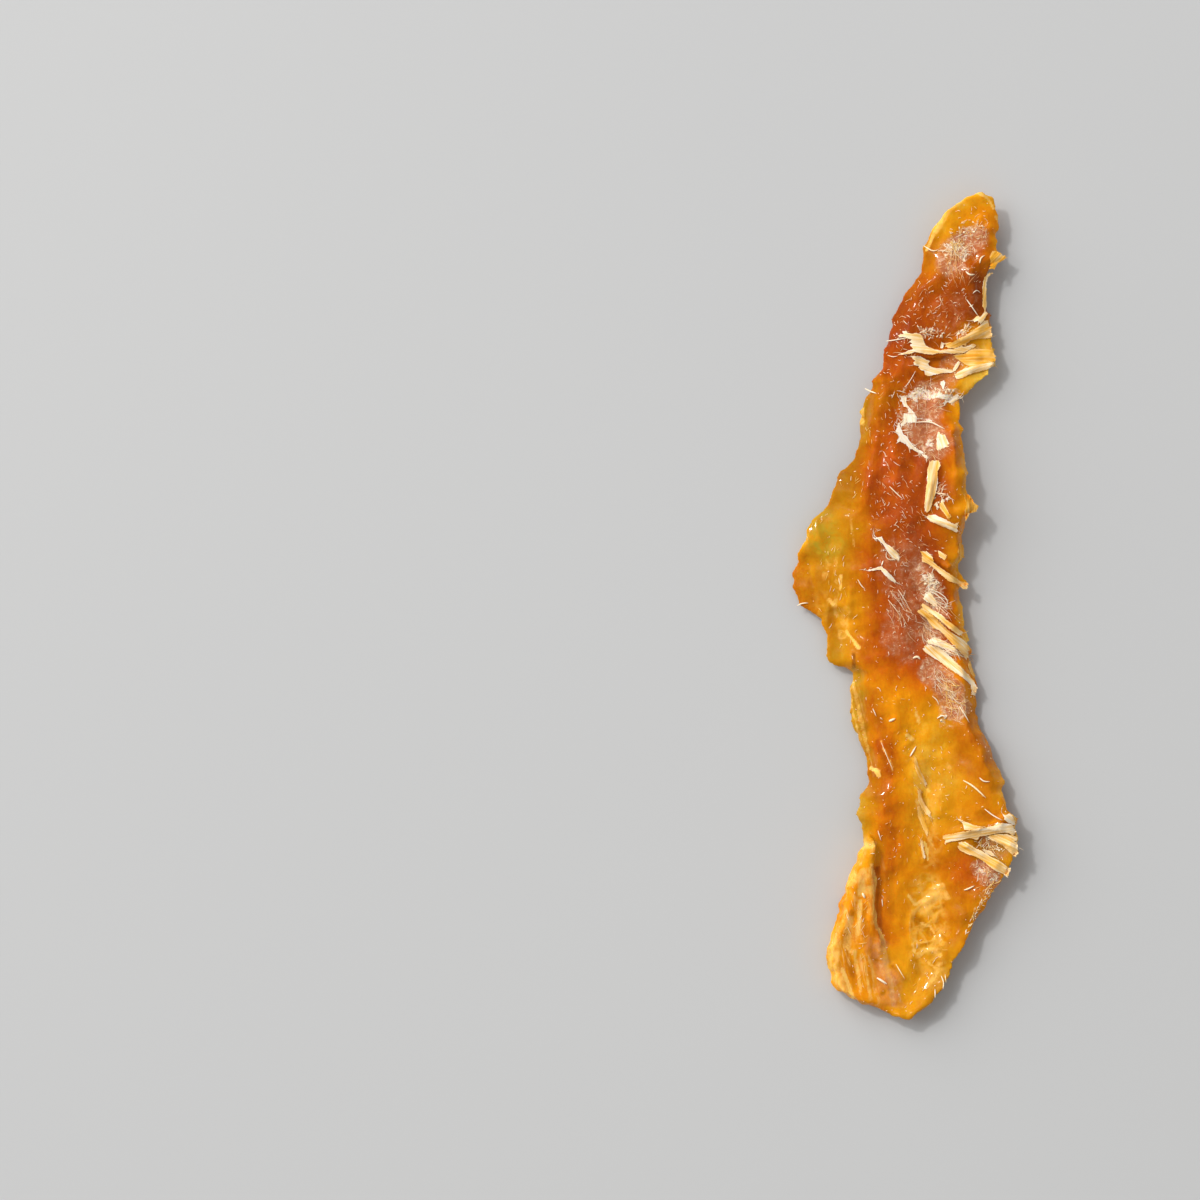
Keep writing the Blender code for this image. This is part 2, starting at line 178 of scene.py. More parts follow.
def addNode(kind, settings=None, **inputs):
    # underscores in the name of an input stand for spaces
    node = tree.nodes.new("ShaderNode" + kind)
    for name, value in (settings or {}).items():
        setattr(node, name, value)
    for name, value in inputs.items():
        feed(node.inputs[name.replace("_", " ")], value)
    return node


def calculate(operation, first, second, clamp=False):
    node = addNode("Math", {"operation": operation, "use_clamp": clamp})
    feed(node.inputs[0], first)
    feed(node.inputs[1], second)
    return node.outputs[0]


def multiply(first, second):
    return calculate("MULTIPLY", first, second)


def add(first, second, clamp=False):
    return calculate("ADD", first, second, clamp)


def sway(value, amount):
    # a noise of 0 to 1 swung round nought
    return multiply(calculate("SUBTRACT", value, 0.5), amount)


def mixColours(share, first, second):
    node = addNode("Mix", {"data_type": "RGBA"})
    for index, value in ((0, share), (6, first), (7, second)):
        feed(node.inputs[index], value if isinstance(value, (bpy.types.NodeSocket, float)) else colour(*value))
    return node.outputs[2]


def maskBetween(value, low, high):
    node = addNode("MapRange", {"interpolation_type": "SMOOTHSTEP"}, Value=value, From_Min=low, From_Max=high)
    return node.outputs[0]


def noiseNode(vector, scale, detail=3.0, roughness=0.5, distortion=0.0):
    return addNode("TexNoise", None, Vector=vector, Scale=scale, Detail=detail,
                   Roughness=roughness, Distortion=distortion).outputs["Fac"]


def threadNode(vector, scale, detail, roughness, distortion):
    # thin curling threads, the ridges of a warped noise
    return addNode("TexNoise", {"noise_type": "RIDGED_MULTIFRACTAL", "normalize": False}, Vector=vector,
                   Scale=scale, Detail=detail, Roughness=roughness, Offset=0.9, Gain=3.0,
                   Distortion=distortion).outputs["Fac"]


def fillRamp(value, stops):
    # stops are pairs of a place and a colour, the first at 0 and the last at 1
    ramp = addNode("ValToRGB", None, Fac=value)
    for index, (stop, paint) in enumerate(stops):
        element = ramp.color_ramp.elements[index] if index < 2 else ramp.color_ramp.elements.new(stop)
        element.position = stop
        element.color = colour(*paint)
    return ramp.outputs["Color"]


def addBump(height, strength, distance):
    bump = addNode("Bump", None, Strength=strength, Distance=distance, Height=height)
    feed(shader.inputs["Normal"], bump.outputs["Normal"])


def readAttribute(name, output="Fac"):
    return addNode("Attribute", {"attribute_name": name}).outputs[output]


def useGroup(group, vector, inputs):
    return addNode("Group", {"node_tree": group}, Vector=vector, **inputs).outputs[0]


def newMaterial(name):
    material = bpy.data.materials.new(name)
    material.use_nodes = True
    return material, material.node_tree, material.node_tree.nodes["Principled BSDF"]


def setSockets(node, values):
    for name, value in values.items():
        node.inputs[name].default_value = value


def newGroup(name, inputs, output):
    # a node group that takes a vector and the named numbers
    group = bpy.data.node_groups.new(name, "ShaderNodeTree")
    group.interface.new_socket("Vector", in_out="INPUT", socket_type="NodeSocketVector")
    for label in inputs:
        group.interface.new_socket(label, in_out="INPUT", socket_type="NodeSocketFloat")
    group.interface.new_socket(output, in_out="OUTPUT", socket_type="NodeSocketFloat")
    return group, group.nodes.new("NodeGroupInput").outputs, group.nodes.new("NodeGroupOutput").inputs[0]


# floor, lights and camera
studio = {
    "floorSide": 5.0,
    "floorColours": ((190, 190, 190), (195, 195, 194)),
    "floorMottle": 3.0,
    "floorFinish": {"Roughness": 0.95, "Specular IOR Level": 0.1},
    "cameraHeight": 1.25,
    "viewCentre": (-0.05483, 0.00115),
    "viewSide": 0.216,
    "keyPlace": (-1.95, 1.6, 1.45),
    "keySide": 3.4,
    "keyPower": 108.0,
    "glintPlace": (-0.85, 0.8, 1.3),
    "glintSide": 0.14,
    "glintPower": 9.0,
    "airColour": (214, 214, 214),
    "airStrength": 0.68,
}

print("stockfish: floor, lights and camera")
bpy.ops.mesh.primitive_plane_add(size=studio["floorSide"])
floor = bpy.context.active_object
floor.name = "paleFloor"
floorPaint, tree, shader = newMaterial("paleFloorPaint")
place = addNode("TexCoord").outputs["Object"]
floorTone = mixColours(noiseNode(place, studio["floorMottle"], 2.0), *studio["floorColours"])
feed(shader.inputs["Base Color"], floorTone)
setSockets(shader, studio["floorFinish"])
floor.data.materials.append(floorPaint)


def addLamp(name, place, side, power, mirrored):
    bpy.ops.object.light_add(type="AREA", location=place)
    lamp = bpy.context.active_object
    lamp.name = name
    lamp.rotation_euler = (-Vector(place)).to_track_quat("-Z", "Y").to_euler()
    lamp.data.size = side
    lamp.data.energy = power
    lamp.visible_glossy = mirrored


addLamp("keyLamp", studio["keyPlace"], studio["keySide"], studio["keyPower"], False)
addLamp("glintLamp", studio["glintPlace"], studio["glintSide"], studio["glintPower"], True)
air = bpy.data.worlds.new("studioAir")
air.use_nodes = True
setSockets(air.node_tree.nodes["Background"],
           {"Color": colour(*studio["airColour"]), "Strength": studio["airStrength"]})
scene.world = air
air.cycles_visibility.glossy = False  # no pale veil on the wet flesh
scene.view_settings.view_transform = "Standard"

bpy.ops.object.camera_add(location=(*studio["viewCentre"], studio["cameraHeight"]), rotation=(0, 0, 0))
camera = bpy.context.active_object
camera.data.sensor_fit = "HORIZONTAL"
camera.data.angle = 2 * math.atan(studio["viewSide"] / 2 / studio["cameraHeight"])
camera.data.clip_start = 0.01
scene.camera = camera

print("stockfish: shared shader effects")
# streaks that run along the second direction of the vector, as dry muscle fibre does
fibreGrain, given, made = newGroup("fibreGrain", ("Scale", "Length"), "Streak")
tree = fibreGrain
squeeze = addNode("CombineXYZ", None, X=1.0, Y=calculate("DIVIDE", 1.0, given["Length"]), Z=1.0)
stretched = addNode("VectorMath", {"operation": "MULTIPLY"})
feed(stretched.inputs[0], given["Vector"])
feed(stretched.inputs[1], squeeze.outputs[0])
feed(made, noiseNode(stretched.outputs[0], given["Scale"], 4.0, 0.6, 0.4))

# pale dry flecks and painted glints, each a small round spot with a warped border
dryFlecksAndGlints, given, made = newGroup("dryFlecksAndGlints", ("Scale", "Share", "Size"), "Mask")
tree = dryFlecksAndGlints
cells = addNode("TexVoronoi", {"feature": "F1"}, Vector=given["Vector"], Scale=given["Scale"]).outputs
warp = noiseNode(given["Vector"], multiply(given["Scale"], 2.6), 2.0)
spotBody = calculate("LESS_THAN", add(cells["Distance"], multiply(warp, 0.35)), given["Size"])
chosen = addNode("SeparateColor", None, Color=cells["Color"]).outputs[0]
feed(made, multiply(spotBody, calculate("LESS_THAN", chosen, given["Share"])))

# tone of the flesh: reach, tone from 0 yellow to 1 red brown, depth as halvings of the light (partly the flesh's own
# darkness, partly painted shade and light that even out its lit and shaded slopes), then the line
fleshToneAndShade = [
    # upper tip and its left rim, the rim darkened: painted shade that tones down the light on it
    (3.24, 0, 0.2, 127, 732, 82, 703, 46, 660, 31, 620),
    (2.52, 0.71, -0.22, 127, 705, 150, 687),
    (3.6, 0.57, 0.28, 105, 642, 82, 615),
    (4.86, 0.84, 0.63, 127, 588, 103, 546, 78, 507),
    (3.6, 0.85, 0.25, 37, 570, 1, 519, -21, 462, -33, 411),
    (2.52, 0.69, -0.16, 57, 552, 37, 489),
    (0.72, 0.41, 1.26, 15, 584, -8, 550, -26, 512),
    (1.44, 0, -0.25, 168, 681, 174, 631, 156, 606),
    (1.26, 1.05, 1.3, 46, 654, 33, 620, 17, 588),
    (0.9, 0.7, 0.05, 154, 681, 157, 651, 150, 620),
    # golden fan and flap on the right
    (2.52, 0.02, 0.14, 132, 483, 147, 458, 132, 429),
    (2.34, 0.55, -0.05, 78, 458, 60, 422),
    (1.98, 0.01, 0.2, 105, 393, 136, 404),
    # left bulge and edge, darkened: painted shade that tones down the light on these left slopes
    (2.34, 0.3, 1.17, -48, 390, -66, 364, -77, 332),
    (2.7, 0.8, -0.14, -37, 327, -44, 282),
    (1.62, 0.37, 1.18, -77, 318, -84, 273, -105, 237, -120, 201),
    # red middle
    (5.04, 0.71, 0.14, 37, 372, 37, 300),
    (5.4, 0.87, 0.06, 6, 249, 17, 206, -1, 147, -12, 84, -30, 3, -37, -60),
    (3.24, 0.96, 0.51, 55, 246, 64, 174, 55, 102, 37, 12),
    (1.44, 0.84, -0.23, -21, 235, -14, 206),
    (1.98, 0.06, 0.18, 87, 246, 87, 156, 82, 84),
    (1.08, 0.14, -0.25, 94, 363, 103, 300, 105, 228, 114, 188, 105, 111, 96, 57, 103, 3, 111, -60),
    # side lobe
    (5.4, 0.28, 0.37, -159, 138, -134, 48, -116, -42),
    # darker left side of the lobe: painted shadow of the neighbouring strip
    (2.7, 0.62, 0.57, -192, 66, -183, 12),
    (1.98, 0.26, 0.77, -125, 192, -102, 84, -98, -6),
    (1.8, 0.02, 1.3, -123, -75, -107, -60),
    # below the lobe
    (2.16, 0.6, 0.05, -59, -60, -66, -87),
    (4.32, 0.94, -0.25, 1, -69, 13, -118),
    (1.44, 0.33, 0.64, -86, -118, -91, -172, -78, -237, -68, -280),
    (3.96, 0.21, -0.09, -21, -150, 1, -204),
    (3.96, 0.17, 0.34, 60, -213, 69, -294, 60, -348),
    # two darker bands and the bright valley between them
    (1.62, 0.72, 0.37, -41, -237, -33, -312, -33, -348),
    (1.8, 0.57, 0.4, 107, -197, 132, -267, 145, -339),
    (1.44, 0.23, 0.68, 125, -516, 103, -561, 82, -604),
    (2.34, 0.64, -0.21, -33, -213, -35, -312, -26, -402, -17, -456),
    (2.7, 0.47, 0.18, 121, -168, 143, -249, 154, -330, 145, -375),
    (2.88, 0.44, -0.23, 91, -168, 78, -141),
    (1.62, 0.09, 0.83, -73, -348, -77, -393),
    (2.16, 0.22, 0.24, 31, -357, 42, -456),
    (1.44, 0.34, -0.25, 1, -348, 6, -456),
    (2.16, 0.42, 0.01, 91, -375, 73, -447),
    (2.34, 0.25, 1.02, 150, -429, 165, -447),
    (2.7, 0.74, 0.09, 103, -460, 132, -501),
    (2.16, 0.66, 0.54, 114, -537, 91, -582),
    (0.9, 0.24, -0.25, 193, -456, 145, -523, 109, -591, 78, -651),
    (1.62, 0.42, -0.05, -17, -492, -14, -573),
    (2.88, 0.28, 0, 42, -519, 46, -582),
    (1.8, 0.21, 0.02, 24, -627, 31, -663),
    (1.98, 0.28, 0.76, 64, -618, 57, -681),
    (2.52, 0.25, 0.37, 1, -717, 37, -708),
    # folded corner
    (3.06, 0.39, -0.15, -77, -492, -98, -573, -116, -627),
    (2.52, 0.38, -0.07, -98, -681, -44, -708),
    (1.44, 0.15, 0.21, -62, -431, -69, -453),
    (0.9, 0, 0.59, -129, -591, -132, -645),
    (0.72, 0.75, -0.25, -48, -471, -42, -537, -42, -591),
    (1.62, 0, -0.25, -104, 4, -113, -35),
    (1.08, 0, -0.25, 174, -305, 170, -348),
    (1.26, 0.77, 0.78, -59, -165, -53, -208),
    (1.26, 0, -0.25, -174, 116, -177, 73),
    (1.44, 0.23, 0.75, 91, -388, 100, -410),
    (1.44, 0.49, -0.25, 48, 177, 46, 141),
    (1.26, 0.58, -0.25, -28, 393, -26, 364),
    (1.44, 1.05, -0.22, -78, 91, -77, 37),
    (1.08, 0.43, 1.3, -57, -294, -55, -338),
    (1.44, 0.21, -0.25, -1, -294, 6, -341),
    (1.08, 0, 0.59, -105, -84, -96, -98),
    (1.44, 0.78, 0.67, 93, -226, 100, -276),
    (0.9, 0.84, -0.25, 96, 138, 100, 98),
    (1.26, 0.02, -0.25, 26, -294, 28, -338),
    (1.26, 0.85, -0.18, 48, -431, 51, -464),
    (1.26, 1.05, 1.05, -3, 526, 1, 483),
    (1.26, 0.57, 0.34, -53, 138, -51, 98),
    (1.26, 0.25, 1.3, -158, 170, -145, 177),
    (1.44, 0.32, 1.3, -156, 84, -152, 44),
    (1.08, 1.05, 0.88, 73, 220, 71, 192),
    (1.26, 0.22, -0.25, 121, 735, 139, 717),
    (1.08, 0.35, -0.25, 87, 692, 64, 663),
    (1.62, 0.46, -0.18, 1, -158, 19, -190),
    (1.62, 0.14, -0.25, 46, -231, 60, -262),
]
# the lists below hold reach, strength, then the line
# pinkish film over the core
fleshFilm = [
    (2.52, 0.85, 125, 663, 94, 642, 80, 613),
    (3.42, 0.3, 109, 570, 78, 519),
    (3.24, 1.0, 40, 372, 28, 328, 49, 292),
    (2.16, 0.6, 82, 433, 67, 397),
    (3.96, 0.12, 6, 246, -1, 156),
    (4.68, 0.5, -8, 84, 19, 12, 1, -60),
    (2.34, 0.8, 31, 62, 46, 12, 49, -46),
    (2.52, 0.85, 49, -118, 78, -150, 93, -179),
    (1.98, 0.9, 139, -467, 154, -485),
    (1.44, 0.42, -44, -609, -26, -681, -8, -708),
    (1.62, 0.5, 145, -424, 172, -438),
]
# white lace of dried film
fleshLace = [
    (1.8, 1.0, 136, 674, 100, 658, 76, 627, 91, 613, 114, 627),
    (1.26, 1.0, -8, 350, 1, 300, 37, 282),
    (1.26, 0.9, 6, 386, 55, 390, 91, 375),
    (1.98, 1.0, 28, 57, 49, 33, 64, 6),
    (1.98, 1.0, 46, -104, 78, -140, 100, -179, 78, -197),
    (1.44, 1.0, 129, -471, 154, -489, 143, -510),
    (1.08, 0.8, 28, 494, 55, 487),
    (0.9, 0.8, 100, 490, 114, 498),
    (1.62, 0.7, 37, -39, 49, -50),
]
# opaque white crust where the film is thickest
fleshCrust = [
    (0.4, 0.75, 3, 341, 21, 332, 46, 334),
    (0.9, 0.45, 145, 678, 114, 674, 91, 649),
    (1.26, 0.6, 82, 642, 103, 627),
    (0.9, 0.7, 40, 53, 51, 42, 44, 31),
    (0.54, 0.5, 58, 12, 73, 1),
    (0.72, 0.5, 96, 431, 105, 422),
    (0.54, 0.5, 49, 210, 67, 195, 75, 181),
    (0.45, 0.55, 24, 499, 46, 501, 66, 490),
    (0.45, 0.55, 96, 487, 111, 498),
    (0.72, 0.6, 129, -464, 150, -480, 165, -492),
    (0.45, 0.6, 145, -516, 129, -539, 121, -561),
    (0.54, 0.5, 42, -66, 67, -71),
]
# greenish flesh
fleshGreen = [
    (2.7, 0.9, -152, 152, -138, 111),
    (1.44, 0.6, -87, -123, -89, -204, -73, -267),
    (1.62, 0.35, -77, 354, -84, 300),
]
# pale gold streaks and lips
fleshPale = [
    (0.9, 0.5, -78, -478, -77, -514),
    (0.9, 0.45, -100, -561, -105, -609),
    (0.72, 0.5, -77, -431, -59, -426),
    (0.9, 0.3, -48, -615, -37, -658),
    (0.54, 0.35, 121, 750, 82, 714, 49, 667),
    (1.08, 0.25, 57, -622, 64, -647, 46, -672),
    (0.72, 0.25, -138, 84, -145, 39),
    (0.9, 0.3, -105, -6, -113, -53),
    (0.54, 0.35, 21, -348, 33, -388, 46, -429),
    (0.45, 0.35, 15, -275, 24, -300, 42, -330),
    (1.08, 0.5, 37, -537, 60, -521),
    (0.9, 0.3, -66, -424, -59, -435),
    (0.34, 0.75, -62, -465, -55, -489, -57, -532, -53, -575, -42, -593, -37, -618),
    (0.58, 0.5, -44, -597, -37, -620, -32, -647, -26, -678, -21, -710),
    (0.43, 0.6, -82, -528, -84, -561, -86, -586),
    (0.4, 0.5, -102, -579, -104, -604, -100, -618),
    (0.4, 0.5, -91, -618, -87, -654, -80, -690),
    (0.31, 0.8, -113, -651, -102, -680, -95, -701),
    (0.34, 0.45, -66, -627, -59, -663, -55, -694),
    (0.34, 0.45, -75, -636, -69, -672, -62, -705),
    (0.76, 0.45, 35, -532, 53, -509, 66, -503, 75, -521),
    (0.61, 0.45, 15, -550, 35, -537),
    (0.29, 0.6, 6, -519, 17, -536, 31, -528),
    (0.27, 0.42, 10, -555, 8, -593, 24, -604, 48, -602, 55, -595),
    (0.29, 0.5, 30, -568, 44, -573, 53, -586),
    (0.29, 0.6, 13, -606, 17, -622),
    (0.5, 0.5, 24, -627, 35, -617, 51, -617, 62, -626),
    (0.36, 0.4, 42, -640, 55, -651, 64, -640),
    (0.36, 0.4, 39, -681, 49, -669, 57, -654),
    (0.27, 0.9, 33, -424, 39, -438, 42, -453),
    (0.45, 0.7, 3, -231, 12, -237),
    (0.36, 0.5, 19, -190, 24, -208),
    (0.27, 0.4, -44, -244, -33, -271, -23, -294),
    (0.54, 0.35, 75, -285, 84, -294),
    (0.36, 0.7, -62, -291, -50, -294, -48, -303),
    (0.4, 0.4, -93, -136, -86, -168, -77, -213, -66, -262),
    (0.29, 0.35, -98, -150, -93, -190, -80, -240),
    (0.27, 0.6, -116, 57, -118, 30),
    (0.36, 0.6, -105, -46, -93, -60, -84, -75),
    (0.4, 0.5, -138, 12, -127, 1, -123, -17),
    (0.54, 0.3, -127, 84, -123, 39, -129, -6),
    (0.32, 0.35, -98, 156, -93, 111),
    (0.36, 0.4, -77, 357, -77, 327),
    (0.36, 0.5, 64, 692, 49, 667, 39, 642),
    (0.32, 0.6, 127, 742, 145, 733, 157, 714),
    (0.32, 0.6, 161, 699, 168, 685),
    (0.36, 0.5, 193, -375, 201, -411, 199, -438),
    (0.54, 0.9, 157, 602, 147, 570, 143, 541),
    (0.9, 0.5, 174, 638, 165, 616),
]
# deeper orange lines, and painted shade in creases and hollows
fleshDarkAndCreaseShade = [
    (0.54, 0.55, -73, -566, -66, -600, -53, -631, -48, -662, -41, -694),
    (0.43, 0.8, -57, -627, -50, -651),
    (0.29, 0.7, -21, -645, -14, -656, -6, -669),
    (0.63, 0.5, -111, -514, -118, -543, -123, -564),
    (0.54, 0.55, -98, -550, -105, -597, -102, -631, -95, -663),
    (0.43, 0.4, -75, -537, -75, -582, -69, -618),
    (0.47, 0.6, -51, -471, -46, -510, -46, -555, -44, -586),
    (0.72, 0.45, -102, -708, -66, -723, -33, -728),
    (0.72, 0.4, 21, -561, 37, -575, 48, -586),
    (0.9, 0.35, 17, -642, 30, -658),
    (0.4, 0.5, 40, -554, 53, -545, 67, -537),
    (0.27, 1.0, -93, -87, -93, -111),
    (0.43, 0.25, -60, 141, -59, 84, -55, 12),
    (0.43, 0.35, -50, -244, -39, -276, -26, -303),
    (0.72, 0.35, -21, -402, -23, -438, -28, -492, -26, -546),
    (0.32, 0.5, 30, -334, 37, -359, 48, -384),
    (0.54, 0.3, 100, -168, 114, -204, 121, -240),
    (0.54, 0.3, -23, 516, -33, 471),
]
# loose gold web in the lower hollow
fleshWeb = [
    (2.88, 1.0, 42, -510, 42, -597),
    (1.98, 0.5, 28, -627, 55, -663),
    (1.62, 0.6, 37, -348, 46, -456),
    (1.44, 0.5, 13, -267, 37, -330),
    (1.8, 0.3, -152, 12, -107, -51),
]
# lengthwise muscle fibre of the folded corner
fleshFibrous = [
    (3.06, 1.0, -69, -471, -98, -573, -105, -663, -59, -712),
    (1.98, 1.0, -69, -528, -59, -636, -26, -708),
    (1.44, 0.5, -86, -114, -91, -172, -78, -237, -68, -280),
    (2.16, 0.4, 127, 471, 145, 435),
]
# ridges and hollows finer than the solid's, their strength being a height
fleshRidges = [
    (0.58, 0.2, 6, -519, 17, -539, 40, -528, 64, -514, 76, -523),
    (0.54, 0.15, 15, -550, 40, -530),
    (0.43, 0.3, 10, -554, 6, -582, 13, -608, 55, -600, 53, -582),
    (0.43, 0.25, 28, -500, 46, -510, 71, -503),
    (0.43, 0.2, 37, -555, 53, -564, 60, -550),
    (0.43, 0.25, 42, -618, 60, -615, 78, -597),
    (0.9, -0.4, 28, -568, 42, -582),
    (0.72, -0.3, 55, -534, 60, -543),
    (0.47, 0.25, 15, -275, 24, -300, 44, -332),
    (0.47, 0.25, 21, -332, 31, -361, 44, -383),
    (0.47, 0.2, 26, -417, 31, -435, 35, -455),
    (0.47, 0.2, 1, -249, 13, -237),
    (0.5, 0.1, -77, -471, -98, -537, -120, -618, -125, -672),
    (0.5, 0.1, -66, -483, -80, -555, -95, -636, -98, -708),
    (0.47, 0.08, -57, -492, -62, -564, -69, -636, -66, -708),
    (0.47, 0.12, -51, -528, -48, -600, -37, -663, -23, -717),
    (0.54, -0.1, -84, -528, -102, -591),
    (0.54, -0.1, -69, -546, -77, -636),
    (0.54, -0.1, -59, -600, -51, -681),
    (0.43, 0.25, -17, -642, -3, -669),
    (0.63, 0.2, -161, 156, -152, 111, -138, 84),
    (0.72, -0.1, -125, 57, -120, 12, -127, -24),
    (0.54, 0.25, -98, 30, -102, -24, -84, -60),
    (0.72, -0.25, -177, 84, -167, 30),
    (0.54, -0.08, -141, 12, -129, -10, -111, -21),
    (0.72, -0.25, -66, 372, -73, 327),
    (0.54, 0.4, -51, -296, -51, -298),
    (0.54, 0.35, 3, -228, 3, -230),
    (0.43, 0.2, -93, -150, -84, -204, -69, -258),
    (0.54, -0.25, -80, -118, -75, -168, -66, -222),
]
# closed outlines of one paint: strength, then the outline
crustPatches = [
    (0.82, -3, 379, 5, 382, 16, 391, 23, 397, 28, 393, 38, 390, 48, 387, 59, 386, 65, 382, 73, 382, 82, 380,
     92, 381, 97, 377, 96, 372, 90, 368, 84, 364, 75, 366, 67, 361, 64, 363, 70, 368, 62, 372, 54, 374, 46,
     368, 38, 371, 26, 374, 21, 367, 12, 368, 7, 371, 1, 372),
    (0.66, 38, 303, 46, 308, 53, 310, 53, 300, 52, 286, 51, 278, 44, 274, 38, 278, 31, 286, 35, 295),
    (0.45, 23, 366, 30, 368, 32, 367, 27, 354, 24, 356),
]
pinkPatches = [
    (0.8, -69, -589, -55, -584, -44, -592, -39, -617, -30, -633, -13, -656, -2, -670, -13, -719, -30, -714,
     -41, -713, -55, -695, -61, -661, -64, -633, -72, -611),
]
palePatches = [
    (0.42, -111, -550, -109, -567, -113, -589, -116, -617, -116, -650, -111, -656, -102, -672, -94, -700,
     -102, -700, -122, -686, -138, -672, -141, -653, -140, -622, -133, -600, -125, -578, -116, -561),
    (0.45, -100, -470, -83, -475, -86, -495, -97, -503, -105, -503, -108, -495),
    (0.3, -93, -567, -83, -578, -84, -606, -86, -628, -97, -622, -101, -600, -100, -578),
    (0.4, -72, -470, -64, -464, -58, -489, -55, -523, -55, -550, -54, -578, -64, -567, -69, -542, -73, -517,
     -73, -492),
    (0.35, -80, -428, -69, -419, -58, -423, -52, -436, -58, -442, -69, -439, -79, -436),
    (0.4, 3, -520, 14, -523, 20, -534, 36, -525, 42, -511, 53, -498, 67, -503, 78, -514, 75, -528, 67, -520,
     53, -525, 48, -536, 42, -550, 31, -556, 17, -553, 12, -547, 25, -542, 31, -534, 17, -531),
]
flesh = {
    "voxel": 0.322,
    "smoothing": 6,
    "lowest": 0.04,
    "seamSteps": ((-1.3, 0.3), (-0.6, -0.5), (0.0, 0.4), (0.6, -0.4), (1.3, 0.2)),
    "borderWander": ((3.4, 0.8), (1.0, 0.3)),
    "rimRagged": ((1.5, 0.32), (0.6, 0.12)),
    "lumps": ((3.6, 0.1), (1.3, 0.035)),
    "webRise": 0.07,
    "webLump": 1.9,
    "strandRise": 0.035,
    "strandStretch": (0.7, 0.1, 0.3),
    "flapTurn": 0.2,
    "blisterCount": 170,
    "blisterRadius": (0.25, 0.75),
    "blisterHeight": (0.04, 0.13),
    "seed": 4,
    "noises": {  # scale, detail, roughness and distortion
        "blotch": (330.0, 3.0, 0.55), "mottle": (1000.0, 4.0, 0.6, 0.5), "cloud": (620.0, 4.0, 0.65, 0.6),
        "film": (1500.0, 4.0, 0.7), "lace": (500.0, 3.0, 0.6), "sheet": (800.0, 3.0, 0.7, 0.8),
        "crust": (1150.0, 4.0, 0.7, 0.7), "wet": (260.0, 3.0, 0.6), "grit": (1600.0, 4.0, 0.6)},
    "threads": ((520.0, 2.0, 0.6, 1.6), (950.0, 1.0, 0.5, 1.2)),
    "edges": {  # where each mask begins and where it is full
        "green": (0.25, 0.7), "pale": (0.62, 1.15), "pink": (0.3, 0.6), "darkFibre": (0.45, 0.25),
        "paleFibre": (0.52, 0.85), "web": (0.24, 0.0), "film": (0.62, 1.3), "filmPale": (0.45, 0.75),
        "thread": (1.25, 1.85), "fineThread": (1.3, 1.9), "lace": (0.75, 1.35), "sheet": (0.5, 0.72),
        "crust": (1.55, 1.85), "redTone": (0.3, 0.85), "redBlotch": (0.35, 0.6), "wet": (0.42, 0.6),
        "bare": (0.8, 0.1)},
    "strength": {"pink": 0.6, "web": 0.5, "sheet": 0.75, "lace": 0.85, "crust": 0.92, "thread": 0.6, "flecksAndGlints": 0.75,
                 "wet": 0.6},
    "relief": {"grit": 0.7, "streaks": 0.5, "lace": 0.6, "crust": 0.9, "web": 0.4, "fibre": 0.5},
    "roughness": (0.24, 0.25, 0.25),  # the least, and what film and cloud add
    "toneSway": (0.34, 0.3),  # by blotches and by streaks
    "deepSway": -0.36,
    "grain": {"Scale": 1300.0, "Length": 2.6},
    "flapGrain": {"Scale": 1100.0, "Length": 7.0},
    "flecksAndGlints": {"Scale": 1500.0, "Share": 0.09, "Size": 0.2},
    "webScale": 430.0,
    "webWarp": (420.0, 0.004),
    "toneStops": ((0.0, (243, 190, 66)), (0.2, (236, 160, 18)), (0.4, (224, 138, 6)), (0.6, (205, 110, 4)),
                  (0.76, (188, 86, 6)), (0.9, (174, 72, 16)), (1.0, (152, 76, 38))),
    "greenColour": (176, 146, 34),
    "paleColour": (250, 196, 98),
    "pinkColour": (230, 150, 84),
    "threadColour": (226, 166, 112),
    "filmColours": ((184, 108, 66), (228, 188, 150)),
    "laceColour": (250, 224, 188),
    "crustColour": (250, 235, 212),
    "fibreColours": ((222, 130, 34), (252, 208, 132)),
    "webColour": (246, 190, 84),
    "bump": (0.55, 0.00018),
    "shader": {
        "Subsurface Weight": 0.3,
        "Subsurface Radius": (1.0, 0.42, 0.08),
        "Subsurface Scale": 0.0016,
        "Specular IOR Level": 0.12,
        "Coat Roughness": 0.09,
        "IOR": 1.45,
    },
}

print("stockfish: flesh mesh")
bpy.ops.object.select_all(action="DESELECT")
body = bpy.data.objects.new("driedFlesh", strip.data.copy())
scene.collection.objects.link(body)
body.data.materials.clear()
selectOnly(body)
bpy.ops.object.mode_set(mode="EDIT")
bpy.ops.mesh.select_all(action="SELECT")
bpy.ops.mesh.remove_doubles(threshold=0.00001)
bpy.ops.object.mode_set(mode="OBJECT")
applyModifier(body, "REMESH", mode="VOXEL", voxel_size=flesh["voxel"] * mm, use_smooth_shade=True)
applyModifier(body, "SMOOTH", factor=0.5, iterations=flesh["smoothing"])

points = readRows(body.data.vertices, "co")
outward = readRows(body.data.vertex_normals, "vector")
upward = outward[:, 2]
print("stockfish: flesh points", len(points))
spots = points[:, :2] / mm
wander = np.zeros_like(spots)
for size, amount in flesh["borderWander"]:
    wander[:, 0] += amount * noiseAt(points, size, 3.7)
    wander[:, 1] += amount * noiseAt(points, size, 11.2)
brushed = spots + wander
tone, deep = np.mean([blendStrokes(brushed + step, fleshToneAndShade) for step in flesh["seamSteps"]], axis=0)
rim = rounded((0.75 - np.abs(upward)) / 0.55)
facesUp = rounded((upward + 0.1) / 0.5)
upper = rounded((upward - 0.1) / 0.45)
